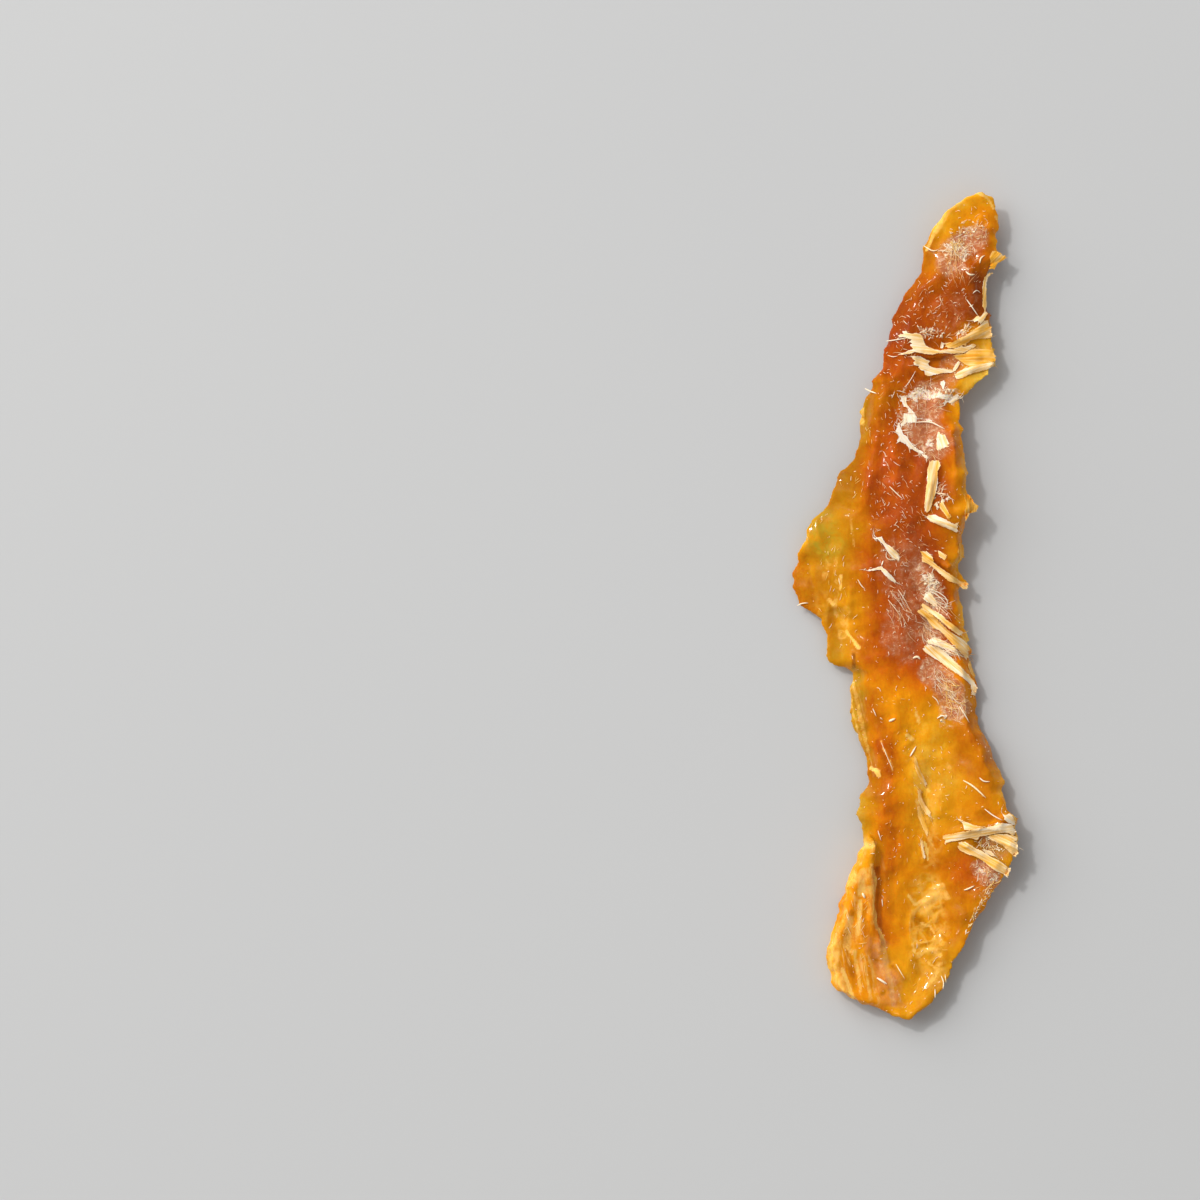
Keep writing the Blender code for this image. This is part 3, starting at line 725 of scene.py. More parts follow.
# deeper orange lines redden the tone and darken the depth: the darkening is painted shade in creases and hollows
darkAndCreaseShade = maskStrokes(spots + 0.25 * wander, fleshDarkAndCreaseShade)
crust = maskPatches(spots + 0.4 * wander, crustPatches, 0.8)
pale = maskPatches(spots + 0.5 * wander, palePatches, 1.1)
masks = {
    "tone": tone - 0.12 * rim + 0.14 * darkAndCreaseShade,
    "deep": deep + 0.7 * darkAndCreaseShade,
    "film": maskStrokes(brushed, fleshFilm) * upper,
    "lace": maskStrokes(brushed, fleshLace) * upper,
    "crust": np.maximum(maskStrokes(brushed, fleshCrust), crust) * upper,
    "pink": maskPatches(brushed, pinkPatches, 1.4),
    "green": maskStrokes(brushed, fleshGreen),
    "pale": np.maximum(maskStrokes(spots + 0.3 * wander, fleshPale), pale),
    "web": maskStrokes(brushed, fleshWeb),
    "fibrous": maskStrokes(brushed, fleshFibrous),
    "upper": upper,
}

# fine relief: lumps, ridges, blisters, the web, the strands and a ragged rim
rise = np.zeros(len(points))
for size, amount in flesh["lumps"]:
    rise += amount * noiseAt(points, size, 20.5, octaves=2)
shifted = spots + 0.4 * wander
ridges = np.zeros(len(points))
for reach, height, *path in fleshRidges:
    ridges += height * np.exp(-(distanceTo(shifted, pairs(path)) / reach) ** 2)
rise += ridges * facesUp
chance = random.Random(flesh["seed"])
for blister in range(flesh["blisterCount"]):
    centre = spots[chance.randrange(len(spots))]
    radius = chance.uniform(*flesh["blisterRadius"])
    height = chance.uniform(*flesh["blisterHeight"])
    near = np.linalg.norm(spots - centre, axis=1) / radius
    rise += height * np.exp(-near ** 2) * facesUp
webRidge = (1 - np.abs(noiseAt(points, flesh["webLump"], 44.0, octaves=2)) * 3).clip(0, 1)
rise += flesh["webRise"] * webRidge * masks["web"] * facesUp
cosine, sine = math.cos(flesh["flapTurn"]), math.sin(flesh["flapTurn"])
across, along, level = points.T
turned = np.column_stack([across * cosine + along * sine, along * cosine - across * sine, level])
strand = (1 - np.abs(noiseAt(turned, 1.0, 52.0, stretch=flesh["strandStretch"])) * 2.2).clip(0, 1)
rise += flesh["strandRise"] * strand * masks["fibrous"] * facesUp
for size, amount in flesh["rimRagged"]:
    rise += rim * amount * noiseAt(points, size, 31.0)
moved = points + outward * rise[:, None] * mm
moved[:, 2] = np.maximum(moved[:, 2], flesh["lowest"] * mm)
body.data.vertices.foreach_set("co", moved.astype(np.float32).ravel())
body.data.update()
for name, values in masks.items():
    addAttribute(body, name, values)

print("stockfish: flesh finish")
fleshSkin, tree, shader = newMaterial("driedFleshSkin")
place = addNode("TexCoord").outputs["Object"]
painted = {name: readAttribute(name) for name in masks}
grain = {name: noiseNode(place, *settings) for name, settings in flesh["noises"].items()}
cloud = grain["cloud"]
edges, strength, relief = flesh["edges"], flesh["strength"], flesh["relief"]
streaks = useGroup(fibreGrain, place, flesh["grain"])
blotchSway, streakSway = flesh["toneSway"]
toneValue = add(painted["tone"], sway(grain["blotch"], blotchSway))
toneValue = add(toneValue, sway(streaks, streakSway))
deepValue = add(painted["deep"], sway(grain["mottle"], flesh["deepSway"]))
# the ramp's colour halved as often as the depth says: the flesh's own darkness and painted shade
dimmed = addNode("VectorMath", {"operation": "SCALE"}, Scale=calculate("POWER", 2.0, multiply(deepValue, -1.0)))
feed(dimmed.inputs["Vector"], fillRamp(toneValue, flesh["toneStops"]))

# fibres of the folded corner and the web
turnedPlace = addNode("Mapping", None, Vector=place, Rotation=(0, 0, -flesh["flapTurn"])).outputs[0]
flapGrain = useGroup(fibreGrain, turnedPlace, flesh["flapGrain"])
warpScale, warpReach = flesh["webWarp"]
warp = addNode("TexNoise", None, Vector=place, Scale=warpScale, Detail=3.0).outputs["Color"]
warped = addNode("VectorMath", {"operation": "MULTIPLY_ADD"})
for socket, value in zip(warped.inputs, (warp, (warpReach, warpReach, warpReach), place)):
    feed(socket, value)
webCells = addNode("TexVoronoi", {"feature": "DISTANCE_TO_EDGE"}, Vector=warped.outputs[0], Scale=flesh["webScale"])
webLine = multiply(maskBetween(webCells.outputs["Distance"], *edges["web"]), painted["web"])

# film, lace, crust and threads
filmShare = maskBetween(add(multiply(painted["film"], 0.8), cloud), *edges["film"])
filmPaint = mixColours(maskBetween(grain["film"], *edges["filmPale"]), *flesh["filmColours"])
threads, fineThreads = (threadNode(place, *settings) for settings in flesh["threads"])
threadLine = maskBetween(threads, *edges["thread"])
laceSpread = maskBetween(add(painted["lace"], grain["lace"]), *edges["lace"])
laceSheet = multiply(laceSpread, maskBetween(grain["sheet"], *edges["sheet"]))
laceShare = calculate("MAXIMUM", multiply(threadLine, laceSpread), multiply(laceSheet, strength["sheet"]))
crustShare = maskBetween(add(painted["crust"], multiply(grain["crust"], 2.0)), *edges["crust"])
fineLine = calculate("MAXIMUM", threadLine, maskBetween(fineThreads, *edges["fineThread"]))
redShare = multiply(maskBetween(toneValue, *edges["redTone"]), maskBetween(grain["blotch"], *edges["redBlotch"]))
# pale flecks: dry specks of film and painted glints
flecksAndGlints = useGroup(dryFlecksAndGlints, place, flesh["flecksAndGlints"])

# paints from the lowest layer up, each with its share
skin = dimmed.outputs[0]
for share, paint in (
    (multiply(painted["green"], maskBetween(cloud, *edges["green"])), flesh["greenColour"]),
    (maskBetween(add(painted["pale"], multiply(cloud, 0.9)), *edges["pale"]), flesh["paleColour"]),
    (multiply(multiply(painted["pink"], maskBetween(cloud, *edges["pink"])), strength["pink"]), flesh["pinkColour"]),
    (multiply(painted["fibrous"], maskBetween(flapGrain, *edges["darkFibre"])), flesh["fibreColours"][0]),
    (multiply(painted["fibrous"], maskBetween(flapGrain, *edges["paleFibre"])), flesh["fibreColours"][1]),
    (multiply(webLine, strength["web"]), flesh["webColour"]),
    (filmShare, filmPaint),
    (multiply(laceShare, strength["lace"]), flesh["laceColour"]),
    (multiply(crustShare, strength["crust"]), flesh["crustColour"]),
    (multiply(multiply(fineLine, strength["thread"]), redShare), flesh["threadColour"]),
    (multiply(flecksAndGlints, strength["flecksAndGlints"]), flesh["laceColour"]),
):
    skin = mixColours(share, skin, paint)
feed(shader.inputs["Base Color"], skin)
least, fromFilm, fromCloud = flesh["roughness"]
feed(shader.inputs["Roughness"], add(add(multiply(filmShare, fromFilm), multiply(cloud, fromCloud)), least))
wet = multiply(maskBetween(grain["wet"], *edges["wet"]), maskBetween(filmShare, *edges["bare"]))
feed(shader.inputs["Coat Weight"], multiply(multiply(wet, painted["upper"]), strength["wet"]))
height = add(multiply(grain["grit"], relief["grit"]), multiply(streaks, relief["streaks"]))
for part, amount in ((laceShare, relief["lace"]), (crustShare, relief["crust"]), (webLine, relief["web"]),
                     (painted["fibrous"], multiply(flapGrain, relief["fibre"]))):
    height = add(height, multiply(part, amount))
addBump(height, *flesh["bump"])
setSockets(shader, flesh["shader"])
body.data.materials.append(fleshSkin)
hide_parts("stockfish_strip")
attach(body, "root")

# the surface that sheets, hairs and crumbs lie on
skinTree = BVHTree.FromPolygons([Vector(row) for row in moved], [tuple(face.vertices) for face in body.data.polygons])


def heightBelow(spot):
    # height of the flesh under a spot, or None past its border
    hit = skinTree.ray_cast(Vector((spot[0] * mm, spot[1] * mm, 0.05)), Vector((0, 0, -1)))[0]
    return hit.z / mm if hit else None


def heightsAt(line):
    # height of the flesh under every spot of a line; past its border the last one holds
    heights = [heightBelow(spot) for spot in line]
    last = next((height for height in heights if height is not None), 0.5)
    for index, height in enumerate(heights):
        last = last if height is None else height
        heights[index] = last
    return np.array(heights)


def makeRod(name, sides, steps):
    # a rod of radius 1 and length 1, cut into rings: the blank of every strand and hair
    bpy.ops.object.select_all(action="DESELECT")
    bpy.ops.mesh.primitive_circle_add(vertices=sides, radius=1, fill_type="NGON")
    rod = bpy.context.active_object
    rod.name = name
    bpy.ops.object.mode_set(mode="EDIT")
    for step in range(steps):
        bpy.ops.mesh.extrude_region_move(TRANSFORM_OT_translate={"value": (0, 0, 1 / steps)})
    bpy.ops.mesh.select_all(action="SELECT")
    bpy.ops.mesh.normals_make_consistent(inside=False)
    bpy.ops.object.mode_set(mode="OBJECT")
    return takeShape(rod)


def bendRod(shape, line, halfWidths, flatness):
    # the rod laid along a line, as wide as halfWidths says from end to end
    shares = np.linspace(0, 1, len(line))
    across, raised, where = shape.T
    centre = np.column_stack([np.interp(where, shares, line[:, axis]) for axis in range(3)])
    slope = np.gradient(line, axis=0)
    slope /= np.maximum(np.linalg.norm(slope, axis=1), 1e-6)[:, None]
    run = np.column_stack([np.interp(where, shares, slope[:, axis]) for axis in range(3)])
    side = np.cross((0.0, 0.0, 1.0), run)
    side /= np.maximum(np.linalg.norm(side, axis=1), 1e-6)[:, None]
    up = np.cross(run, side)
    width = np.interp(where, np.linspace(0, 1, len(halfWidths)), halfWidths)
    return centre + side * (across * width)[:, None] + up * (raised * width * flatness)[:, None]


def repeatFaces(blankFaces, size, count):
    return [tuple(index + copy * size for index in face) for copy in range(count) for face in blankFaces]


def joinCopies(name, faces, copies, **layers):
    # one mesh of many bent copies, with one value of each layer for every point
    mesh = bpy.data.meshes.new(name)
    mesh.from_pydata((np.vstack(copies) * mm).tolist(), [], faces)
    piece = bpy.data.objects.new(name, mesh)
    scene.collection.objects.link(piece)
    mesh.shade_smooth()
    for layer, values in layers.items():
        addAttribute(piece, layer, np.concatenate(values))
    return piece


def finishPiece(piece, material):
    piece.data.materials.append(material)
    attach(piece, "root")


# torn sheets of fibre and film: the yellow of the fibre at the left and right end, below zero a white film,
# how far the middle lifts off, how many single fibres hang at the ends, then the outline
tornSheets = [
    # torn fan below the upper third
    (0.1, 0.22, 0.42, 10, -16, 483, -10, 488, -5, 489, -7, 493, 0, 494, 3, 490, 11, 489, 19, 490, 26, 488,
     30, 483, 32, 476, 35, 469, 42, 464, 51, 461, 62, 459, 75, 461, 87, 462, 97, 466, 100, 468, 103, 466,
     111, 467, 121, 471, 126, 470, 125, 466, 118, 462, 111, 458, 105, 455, 95, 454, 82, 453, 69, 454, 58,
     454, 47, 451, 38, 452, 25, 454, 16, 456, 5, 452, -11, 451, 0, 456, 4, 459, 11, 460, 13, 462, 7, 468,
     11, 471, 5, 474, 10, 478, 1, 481, -5, 483),
    (0.12, 0.12, 0.32, 6, 8, 448, 14, 449, 25, 448, 38, 442, 43, 440, 40, 435, 43, 431, 51, 428, 62, 427,
     73, 426, 82, 424, 87, 422, 82, 419, 73, 419, 64, 418, 51, 415, 44, 413, 39, 413, 34, 416, 33, 422, 27,
     424, 22, 428, 23, 430, 15, 433, 13, 437, 17, 440, 12, 444),
    (0.5, 0.36, 0.2, 4, 69, 472, 84, 474, 95, 480, 108, 486, 120, 494, 130, 501, 137, 507, 141, 513, 148,
     514, 152, 506, 155, 499, 154, 492, 156, 483, 146, 481, 137, 481, 126, 480, 117, 477, 109, 472, 108,
     468, 102, 469, 97, 466, 87, 463, 76, 463, 71, 466),
    (0.48, 0.72, 0.06, 0, 84, 450, 95, 453, 106, 454, 111, 458, 120, 462, 131, 462, 146, 462, 159, 459, 162,
     451, 161, 442, 156, 438, 146, 435, 131, 433, 117, 429, 106, 435, 95, 442),
    (0.12, 0.26, 0.3, 2, 87, 417, 93, 420, 104, 426, 117, 430, 131, 433, 146, 437, 159, 438, 160, 433, 153,
     428, 142, 424, 131, 421, 120, 418, 111, 415, 102, 410, 95, 408, 90, 410),
    (0.1, 0.1, 0.3, 0, 84, 423, 88, 432, 95, 440, 98, 438, 94, 429, 88, 422),
    (0.0, 0.0, 0.3, 0, 64, 474, 70, 472, 66, 462, 62, 463),
    (0.08, 0.2, 0.25, 2, 121, 514, 125, 519, 131, 522, 133, 519, 143, 530, 148, 526, 143, 519, 139, 512,
     134, 506, 129, 512, 123, 510),
    # lump and cream line of the right border
    (0.72, 0.6, 0.1, 0, 155, 638, 165, 637, 174, 631, 183, 627, 176, 621, 165, 616, 159, 604, 150, 606, 152,
     619, 150, 626),
    (0.35, 0.3, 0.05, 0, 159, 600, 149, 592, 145, 580, 145, 561, 146, 540, 142, 526, 138, 540, 138, 561,
     138, 578, 141, 590, 149, 599),
    # white film of the upper patch
    (-0.25, -0.2, 0.03, 4, -10, 378, -6, 377, -2, 379, 1, 376, 1, 367, 3, 361, 9, 354, 15, 347, 20, 340, 19,
     332, 12, 328, 8, 330, 0, 329, -4, 324, -8, 321, -10, 326, -6, 332, -4, 340, -3, 346, 3, 345, 5, 349, 3,
     356, -4, 359, -6, 366, -11, 369, -8, 372),
    (-0.3, -0.25, 0.08, 6, -15, 330, -12, 330, -10, 321, -7, 316, -6, 310, 0, 306, 5, 300, 9, 293, 15, 287,
     21, 281, 31, 278, 32, 274, 28, 273, 21, 276, 15, 280, 11, 283, 9, 281, 4, 286, -1, 291, -10, 295, -15,
     294, -16, 297, -13, 301, -14, 308, -19, 312, -16, 320),
    (-0.3, -0.3, 0.05, 0, 28, 274, 35, 271, 39, 268, 40, 265, 37, 264, 32, 268, 29, 271),
    (-0.05, 0.0, 0.02, 6, 64, 363, 71, 368, 80, 370, 85, 376, 92, 381, 96, 377, 94, 372, 88, 368, 82, 364,
     75, 366, 68, 361),
    (-0.25, -0.25, 0.1, 0, 63, 404, 68, 406, 71, 401, 69, 393, 67, 388, 64, 394, 62, 399),
    (0.0, 0.08, 0.12, 0, 55, 303, 58, 313, 61, 313, 61, 308, 69, 308, 74, 298, 77, 291, 73, 289, 78, 285,
     67, 283, 58, 279, 55, 281),
    # middle
    (0.2, 0.3, 0.4, 4, 43, 261, 59, 263, 62, 252, 56, 242, 57, 221, 53, 204, 48, 190, 42, 170, 33, 168, 33,
     187, 35, 208, 38, 225, 38, 246),
    (0.16, 0.02, 0.25, 6, 38, 164, 52, 164, 69, 156, 86, 147, 94, 151, 92, 140, 93, 131, 80, 137, 62, 144,
     45, 152, 36, 159),
    (0.45, 0.5, 0.15, 2, 59, 187, 66, 187, 73, 173, 80, 161, 76, 155, 68, 166, 60, 176),
    (0.7, 0.6, 0.12, 0, 102, 204, 114, 201, 123, 185, 130, 180, 126, 170, 114, 166, 107, 152, 104, 166, 107,
     183),
    (0.7, 0.62, 0.1, 0, 95, 114, 104, 111, 106, 87, 97, 85, 93, 97),
    (0.3, 0.45, 0.12, 0, 57, 101, 73, 92, 70, 82, 59, 89),
    (0.3, 0.42, 0.4, 2, 26, 98, 37, 99, 47, 89, 50, 78, 73, 61, 100, 45, 112, 43, 112, 34, 103, 30, 94, 40,
     77, 45, 58, 61, 47, 71, 37, 78, 28, 80, 28, 91),
    # left side of the middle
    (-0.1, 0.0, 0.3, 6, -60, 123, -44, 125, -38, 114, -27, 107, -14, 95, -12, 83, -24, 87, -34, 99, -42,
     112, -51, 120),
    (-0.1, 0.0, 0.3, 4, -71, 64, -60, 68, -44, 72, -34, 63, -22, 51, -15, 41, -25, 45, -38, 56, -46, 66,
     -60, 64),
    # strands that cross to the right border
    (0.42, 0.26, 0.62, 2, 29, 6, 37, 2, 46, -5, 55, -10, 65, -16, 73, -24, 84, -32, 94, -40, 102, -46, 102,
     -51, 96, -52, 87, -47, 78, -40, 67, -30, 57, -22, 48, -15, 37, -10, 28, -4),
    (0.5, 0.28, 0.4, 6, 21, -10, 28, -3, 37, -10, 48, -16, 57, -24, 67, -34, 76, -43, 87, -50, 96, -55, 104,
     -60, 111, -67, 112, -73, 116, -77, 113, -82, 113, -92, 109, -96, 106, -89, 100, -84, 94, -77, 86, -70,
     78, -61, 69, -51, 61, -43, 50, -39, 44, -32, 37, -22, 29, -16),
    (0.05, 0.1, 0.25, 8, 30, 15, 39, 25, 45, 25, 53, 12, 57, 2, 51, 0, 43, 6, 37, 8),
    (0.0, 0.15, 0.15, 10, 37, -61, 53, -55, 67, -61, 82, -69, 96, -83, 95, -89, 84, -81, 73, -77, 61, -73,
     49, -68, 40, -67),
    (0.24, 0.08, 0.42, 6, 31, -75, 37, -68, 47, -70, 61, -75, 73, -83, 84, -94, 94, -104, 104, -114, 114,
     -124, 122, -133, 129, -145, 129, -153, 124, -161, 120, -161, 119, -151, 117, -141, 110, -134, 100,
     -126, 88, -118, 75, -110, 63, -100, 51, -93, 39, -85, 32, -79),
    (0.6, 0.5, 0.1, 0, 114, -96, 118, -98, 120, -108, 127, -124, 123, -130, 117, -118, 113, -106),
    # flakes of the ridge above the lower hollow
    (0.4, 0.25, 0.12, 3, 22, -330, 27, -329, 30, -347, 39, -361, 45, -370, 44, -378, 38, -374, 30, -363, 23,
     -348),
    (0.62, 0.5, 0.08, 2, 21, -359, 26, -359, 34, -381, 41, -402, 39, -415, 32, -399, 22, -377),
    (0.35, 0.25, 0.1, 2, 27, -417, 31, -419, 33, -438, 36, -451, 31, -453, 28, -435),
    (0.6, 0.45, 0.06, 2, 14, -268, 19, -271, 23, -287, 33, -307, 40, -322, 36, -323, 24, -307, 17, -289),
    # lower right bulge
    (0.34, 0.12, 0.5, 4, 65, -415, 69, -410, 78, -409, 88, -407, 99, -404, 109, -403, 120, -400, 130, -398,
     142, -397, 150, -394, 157, -393, 159, -391, 166, -388, 176, -388, 185, -389, 192, -391, 195, -398, 198,
     -405, 197, -408, 192, -410, 185, -407, 177, -405, 168, -406, 159, -408, 149, -410, 142, -411, 133,
     -412, 129, -418, 126, -420, 122, -417, 113, -415, 105, -417, 95, -420, 84, -421, 74, -424, 72, -427,
     69, -421),
    (0.15, 0.38, 0.15, 4, 93, -381, 95, -381, 105, -385, 113, -388, 122, -392, 130, -394, 142, -395, 136,
     -398, 125, -400, 113, -401, 105, -400, 103, -394, 101, -388),
    (0.0, 0.05, 0.3, 2, 172, -371, 178, -374, 185, -371, 190, -373, 194, -383, 197, -391, 192, -391, 187,
     -389, 180, -386, 175, -381, 176, -377, 173, -374),
    (0.4, 0.22, 0.2, 6, 143, -412, 153, -410, 163, -408, 173, -408, 181, -408, 188, -410, 195, -412, 200,
     -415, 198, -420, 193, -420, 199, -424, 201, -432, 200, -441, 198, -449, 194, -448, 188, -442, 181,
     -436, 173, -428, 164, -424, 157, -421, 150, -417),
    (0.36, 0.24, 0.42, 4, 93, -434, 94, -425, 99, -421, 106, -422, 116, -428, 126, -434, 136, -438, 147,
     -445, 156, -451, 166, -455, 176, -462, 184, -470, 188, -469, 190, -470, 187, -477, 183, -486, 180,
     -485, 176, -480, 167, -477, 159, -473, 150, -466, 142, -459, 136, -455, 130, -451, 122, -448, 113,
     -445, 105, -442, 98, -438),
    (0.12, 0.1, 0.15, 2, 137, -436, 144, -436, 153, -439, 160, -446, 159, -449, 151, -446, 143, -442),
]
shreds = {
    "cell": 0.27,
    "edgeStep": 0.2,
    "edgeRagged": 0.06,
    "thickness": 0.08,
    "endTorn": 0.3,
    "fineRipple": 0.035,
    "lift": 0.05,
    "ripple": 0.08,
    "sharpAngle": 48,
    "rodSides": 6,
    "rodSteps": 8,
    "fringeLong": (0.5, 1.9),
    "fringeWidth": (0.025, 0.065),
    "fringeTaper": (0.8, 1.0, 0.9, 0.2),
    "seed": 21,
    "grain": {"Scale": 3000.0, "Length": 18.0},
    "grainSway": 1.7,
    "patchScale": 420.0,
    "patchSway": 0.35,
    "stops": ((-0.3, (250, 236, 216)), (0.0, (255, 229, 186)), (0.22, (254, 210, 140)), (0.45, (248, 190, 96)),
              (0.7, (242, 170, 36)), (1.0, (222, 134, 8))),
    "bump": (0.9, 0.0002),
    "shader": {"Roughness": 0.5, "Specular IOR Level": 0.3},
}

print("stockfish: cream shreds")
chance = random.Random(shreds["seed"])


def groundUnder(flat):
    # height of the flesh under every spot, and of a plane laid through it, which holds beyond its border
    hits = [heightBelow(spot) for spot in flat]
    found = np.array([hit is not None for hit in hits])
    own = np.array([hit or 0.0 for hit in hits])
    table = np.column_stack([flat, np.ones(len(flat))])
    plane = table @ np.linalg.lstsq(table[found], own[found], rcond=None)[0]
    plane = plane.clip(own[found].min() - 0.3, own[found].max() + 0.3)
    return np.where(found, own, plane), plane


def cutSheet(corners, gold, rise):
    # the outline made ragged and torn at both ends, filled with small triangles, laid on the flesh, closed below
    border = []
    for first, second in zip(corners, np.roll(corners, -1, axis=0)):
        steps = max(1, round(np.linalg.norm(second - first) / shreds["edgeStep"]))
        border.extend(first + (second - first) * step / steps for step in range(steps))
    ragged = shreds["edgeRagged"]
    border = np.array([spot + (chance.uniform(-ragged, ragged), chance.uniform(-ragged, ragged)) for spot in border])
    centre = corners.mean(axis=0)
    axis = np.linalg.svd(corners - centre, full_matrices=False)[2][0]
    axis = axis if axis[0] > 0 else -axis
    run = (border - centre) @ axis
    atEnds = rounded((np.abs(2 * (run - run.min()) / np.ptp(run) - 1) - 0.72) / 0.25)
    torn = np.array([chance.uniform(-1.0, 0.6) for spot in border]) * shreds["endTorn"] * min(1, np.ptp(run) / 4)
    border = border + (np.sign(run) * torn * atEnds)[:, None] * axis
    ring = np.vstack([border, border[:1]])
    cell = shreds["cell"]
    low, high = border.min(axis=0), border.max(axis=0)
    columns, rows = np.meshgrid(np.arange(low[0], high[0], cell), np.arange(low[1], high[1], cell * 0.87))
    columns[1::2] += cell / 2
    inner = np.column_stack([columns.ravel(), rows.ravel()])
    inner = inner[insideOutline(inner, border) & (distanceTo(inner, ring) > cell * 0.5)]
    filled = geometry.delaunay_2d_cdt([Vector(spot) for spot in np.vstack([border, inner])], [],
                                      [list(range(len(border)))], 1, 1e-6)
    flat = np.array([tuple(spot) for spot in filled[0]])
    count = len(flat)
    top = []
    for face in filled[2]:
        (x0, y0), (x1, y1), (x2, y2) = flat[face[0]], flat[face[1]], flat[face[2]]
        turns = (x1 - x0) * (y2 - y0) - (x2 - x0) * (y1 - y0)
        top.append(tuple(face) if turns > 0 else tuple(face[::-1]))
    sides = {(face[turn], face[(turn + 1) % 3]) for face in top for turn in range(3)}
    walls = [(start, start + count, end + count, end) for start, end in sides if (end, start) not in sides]
    faces = top + [tuple(index + count for index in reversed(face)) for face in top] + walls

    along = (flat - centre) @ axis
    across = (flat - centre) @ (-axis[1], axis[0])
    level = np.zeros(count)
    share = (along - along.min()) / max(np.ptp(along), 1e-6)
    inwards = rounded(distanceTo(flat, ring) / 0.3)
    weaveSpots = np.column_stack([across, along, level]) * mm
    ripple = noiseAt(weaveSpots, 1.0, chance.uniform(0, 90), stretch=(1.9, 0.3, 1))
    fine = noiseAt(weaveSpots, 0.4, chance.uniform(0, 90), stretch=(1.6, 0.12, 1))
    own, plane = groundUnder(flat)
    height = np.maximum(0.65 * own + 0.35 * plane, own + 0.02) + shreds["lift"]
    height += rise * (0.2 + 0.5 * np.sin(math.pi * share)) + shreds["ripple"] * ripple * (0.4 + 0.6 * inwards)
    height += shreds["fineRipple"] * fine
    thick = shreds["thickness"] * (0.45 + 0.55 * inwards)
    # the tint is paler on the ripples' crests and more golden in their troughs: painted light and shade
    tint = np.interp(share, (0, 1), gold) - 0.3 * ripple - 0.12 * (1 - inwards)
    weave = np.column_stack([across + 9.0 * chance.random(), along, level]) * mm
    shape = np.vstack([np.column_stack([flat, height + 0.03 * inwards]), np.column_stack([flat, height - thick])])
    return faces, shape, np.r_[tint, tint], np.vstack([weave, weave]), (flat, share, axis)


rodShape, rodFaces = makeRod("shredRod", shreds["rodSides"], shreds["rodSteps"])
copies, tints, weaves, shredFaces = [], [], [], []


def addShred(faces, copy, tint, weave):
    base = sum(len(done) for done in copies)
    shredFaces.extend(tuple(index + base for index in face) for face in faces)
    copies.append(copy)
    tints.append(tint)
    weaves.append(weave)


for left, right, rise, fringe, *outline in tornSheets:
    *sheet, (flat, share, axis) = cutSheet(pairs(outline), (left, right), rise)
    addShred(*sheet)
    for fibre in range(fringe):
        atEnd = chance.choice((0, 1))
        near = np.flatnonzero(np.abs(share - atEnd) < 0.22)
        start = flat[near[chance.randrange(len(near))]]
        turn = math.atan2(axis[1], axis[0]) + (0 if atEnd else math.pi) + chance.gauss(0, 0.35)
        bend = chance.uniform(-0.5, 0.5)
        run = np.linspace(-0.4, 1, 9) * chance.uniform(*shreds["fringeLong"])
        path = start + np.column_stack([np.cos(turn + bend * run) * run, np.sin(turn + bend * run) * run])
        halfWidth = chance.uniform(*shreds["fringeWidth"])
        heights = groundUnder(path)[0] + 0.12 + 0.25 * rise * chance.random()
        bent = bendRod(rodShape, np.column_stack([path, heights]), halfWidth * np.array(shreds["fringeTaper"]), 0.6)
        across, level, long = rodShape.T
        weave = np.column_stack([across * halfWidth + 9.0 * chance.random(), long * 2, level])
        tint = (left, right)[atEnd] + chance.uniform(-0.15, 0.1)
        addShred(rodFaces, bent, np.full(len(rodShape), tint), weave * mm)
shredPiece = joinCopies("creamShreds", shredFaces, copies, tint=tints, weave=weaves)
shredPiece.data.set_sharp_from_angle(angle=math.radians(shreds["sharpAngle"]))
print("stockfish: sheets and fringe", len(copies))

shredSkin, tree, shader = newMaterial("creamShredFibre")
streaks = useGroup(fibreGrain, readAttribute("weave", "Vector"), shreds["grain"])
place = addNode("TexCoord").outputs["Object"]
tintValue = add(readAttribute("tint"), sway(streaks, shreds["grainSway"]))
tintValue = add(tintValue, sway(noiseNode(place, shreds["patchScale"], 2.0), shreds["patchSway"]))
lowest, highest = shreds["stops"][0][0], shreds["stops"][-1][0]
spread = addNode("MapRange", None, Value=tintValue, From_Min=lowest, From_Max=highest).outputs[0]
stops = [((stop - lowest) / (highest - lowest), paint) for stop, paint in shreds["stops"]]
feed(shader.inputs["Base Color"], fillRamp(spread, stops))
addBump(streaks, *shreds["bump"])
setSockets(shader, shreds["shader"])
finishPiece(shredPiece, shredSkin)

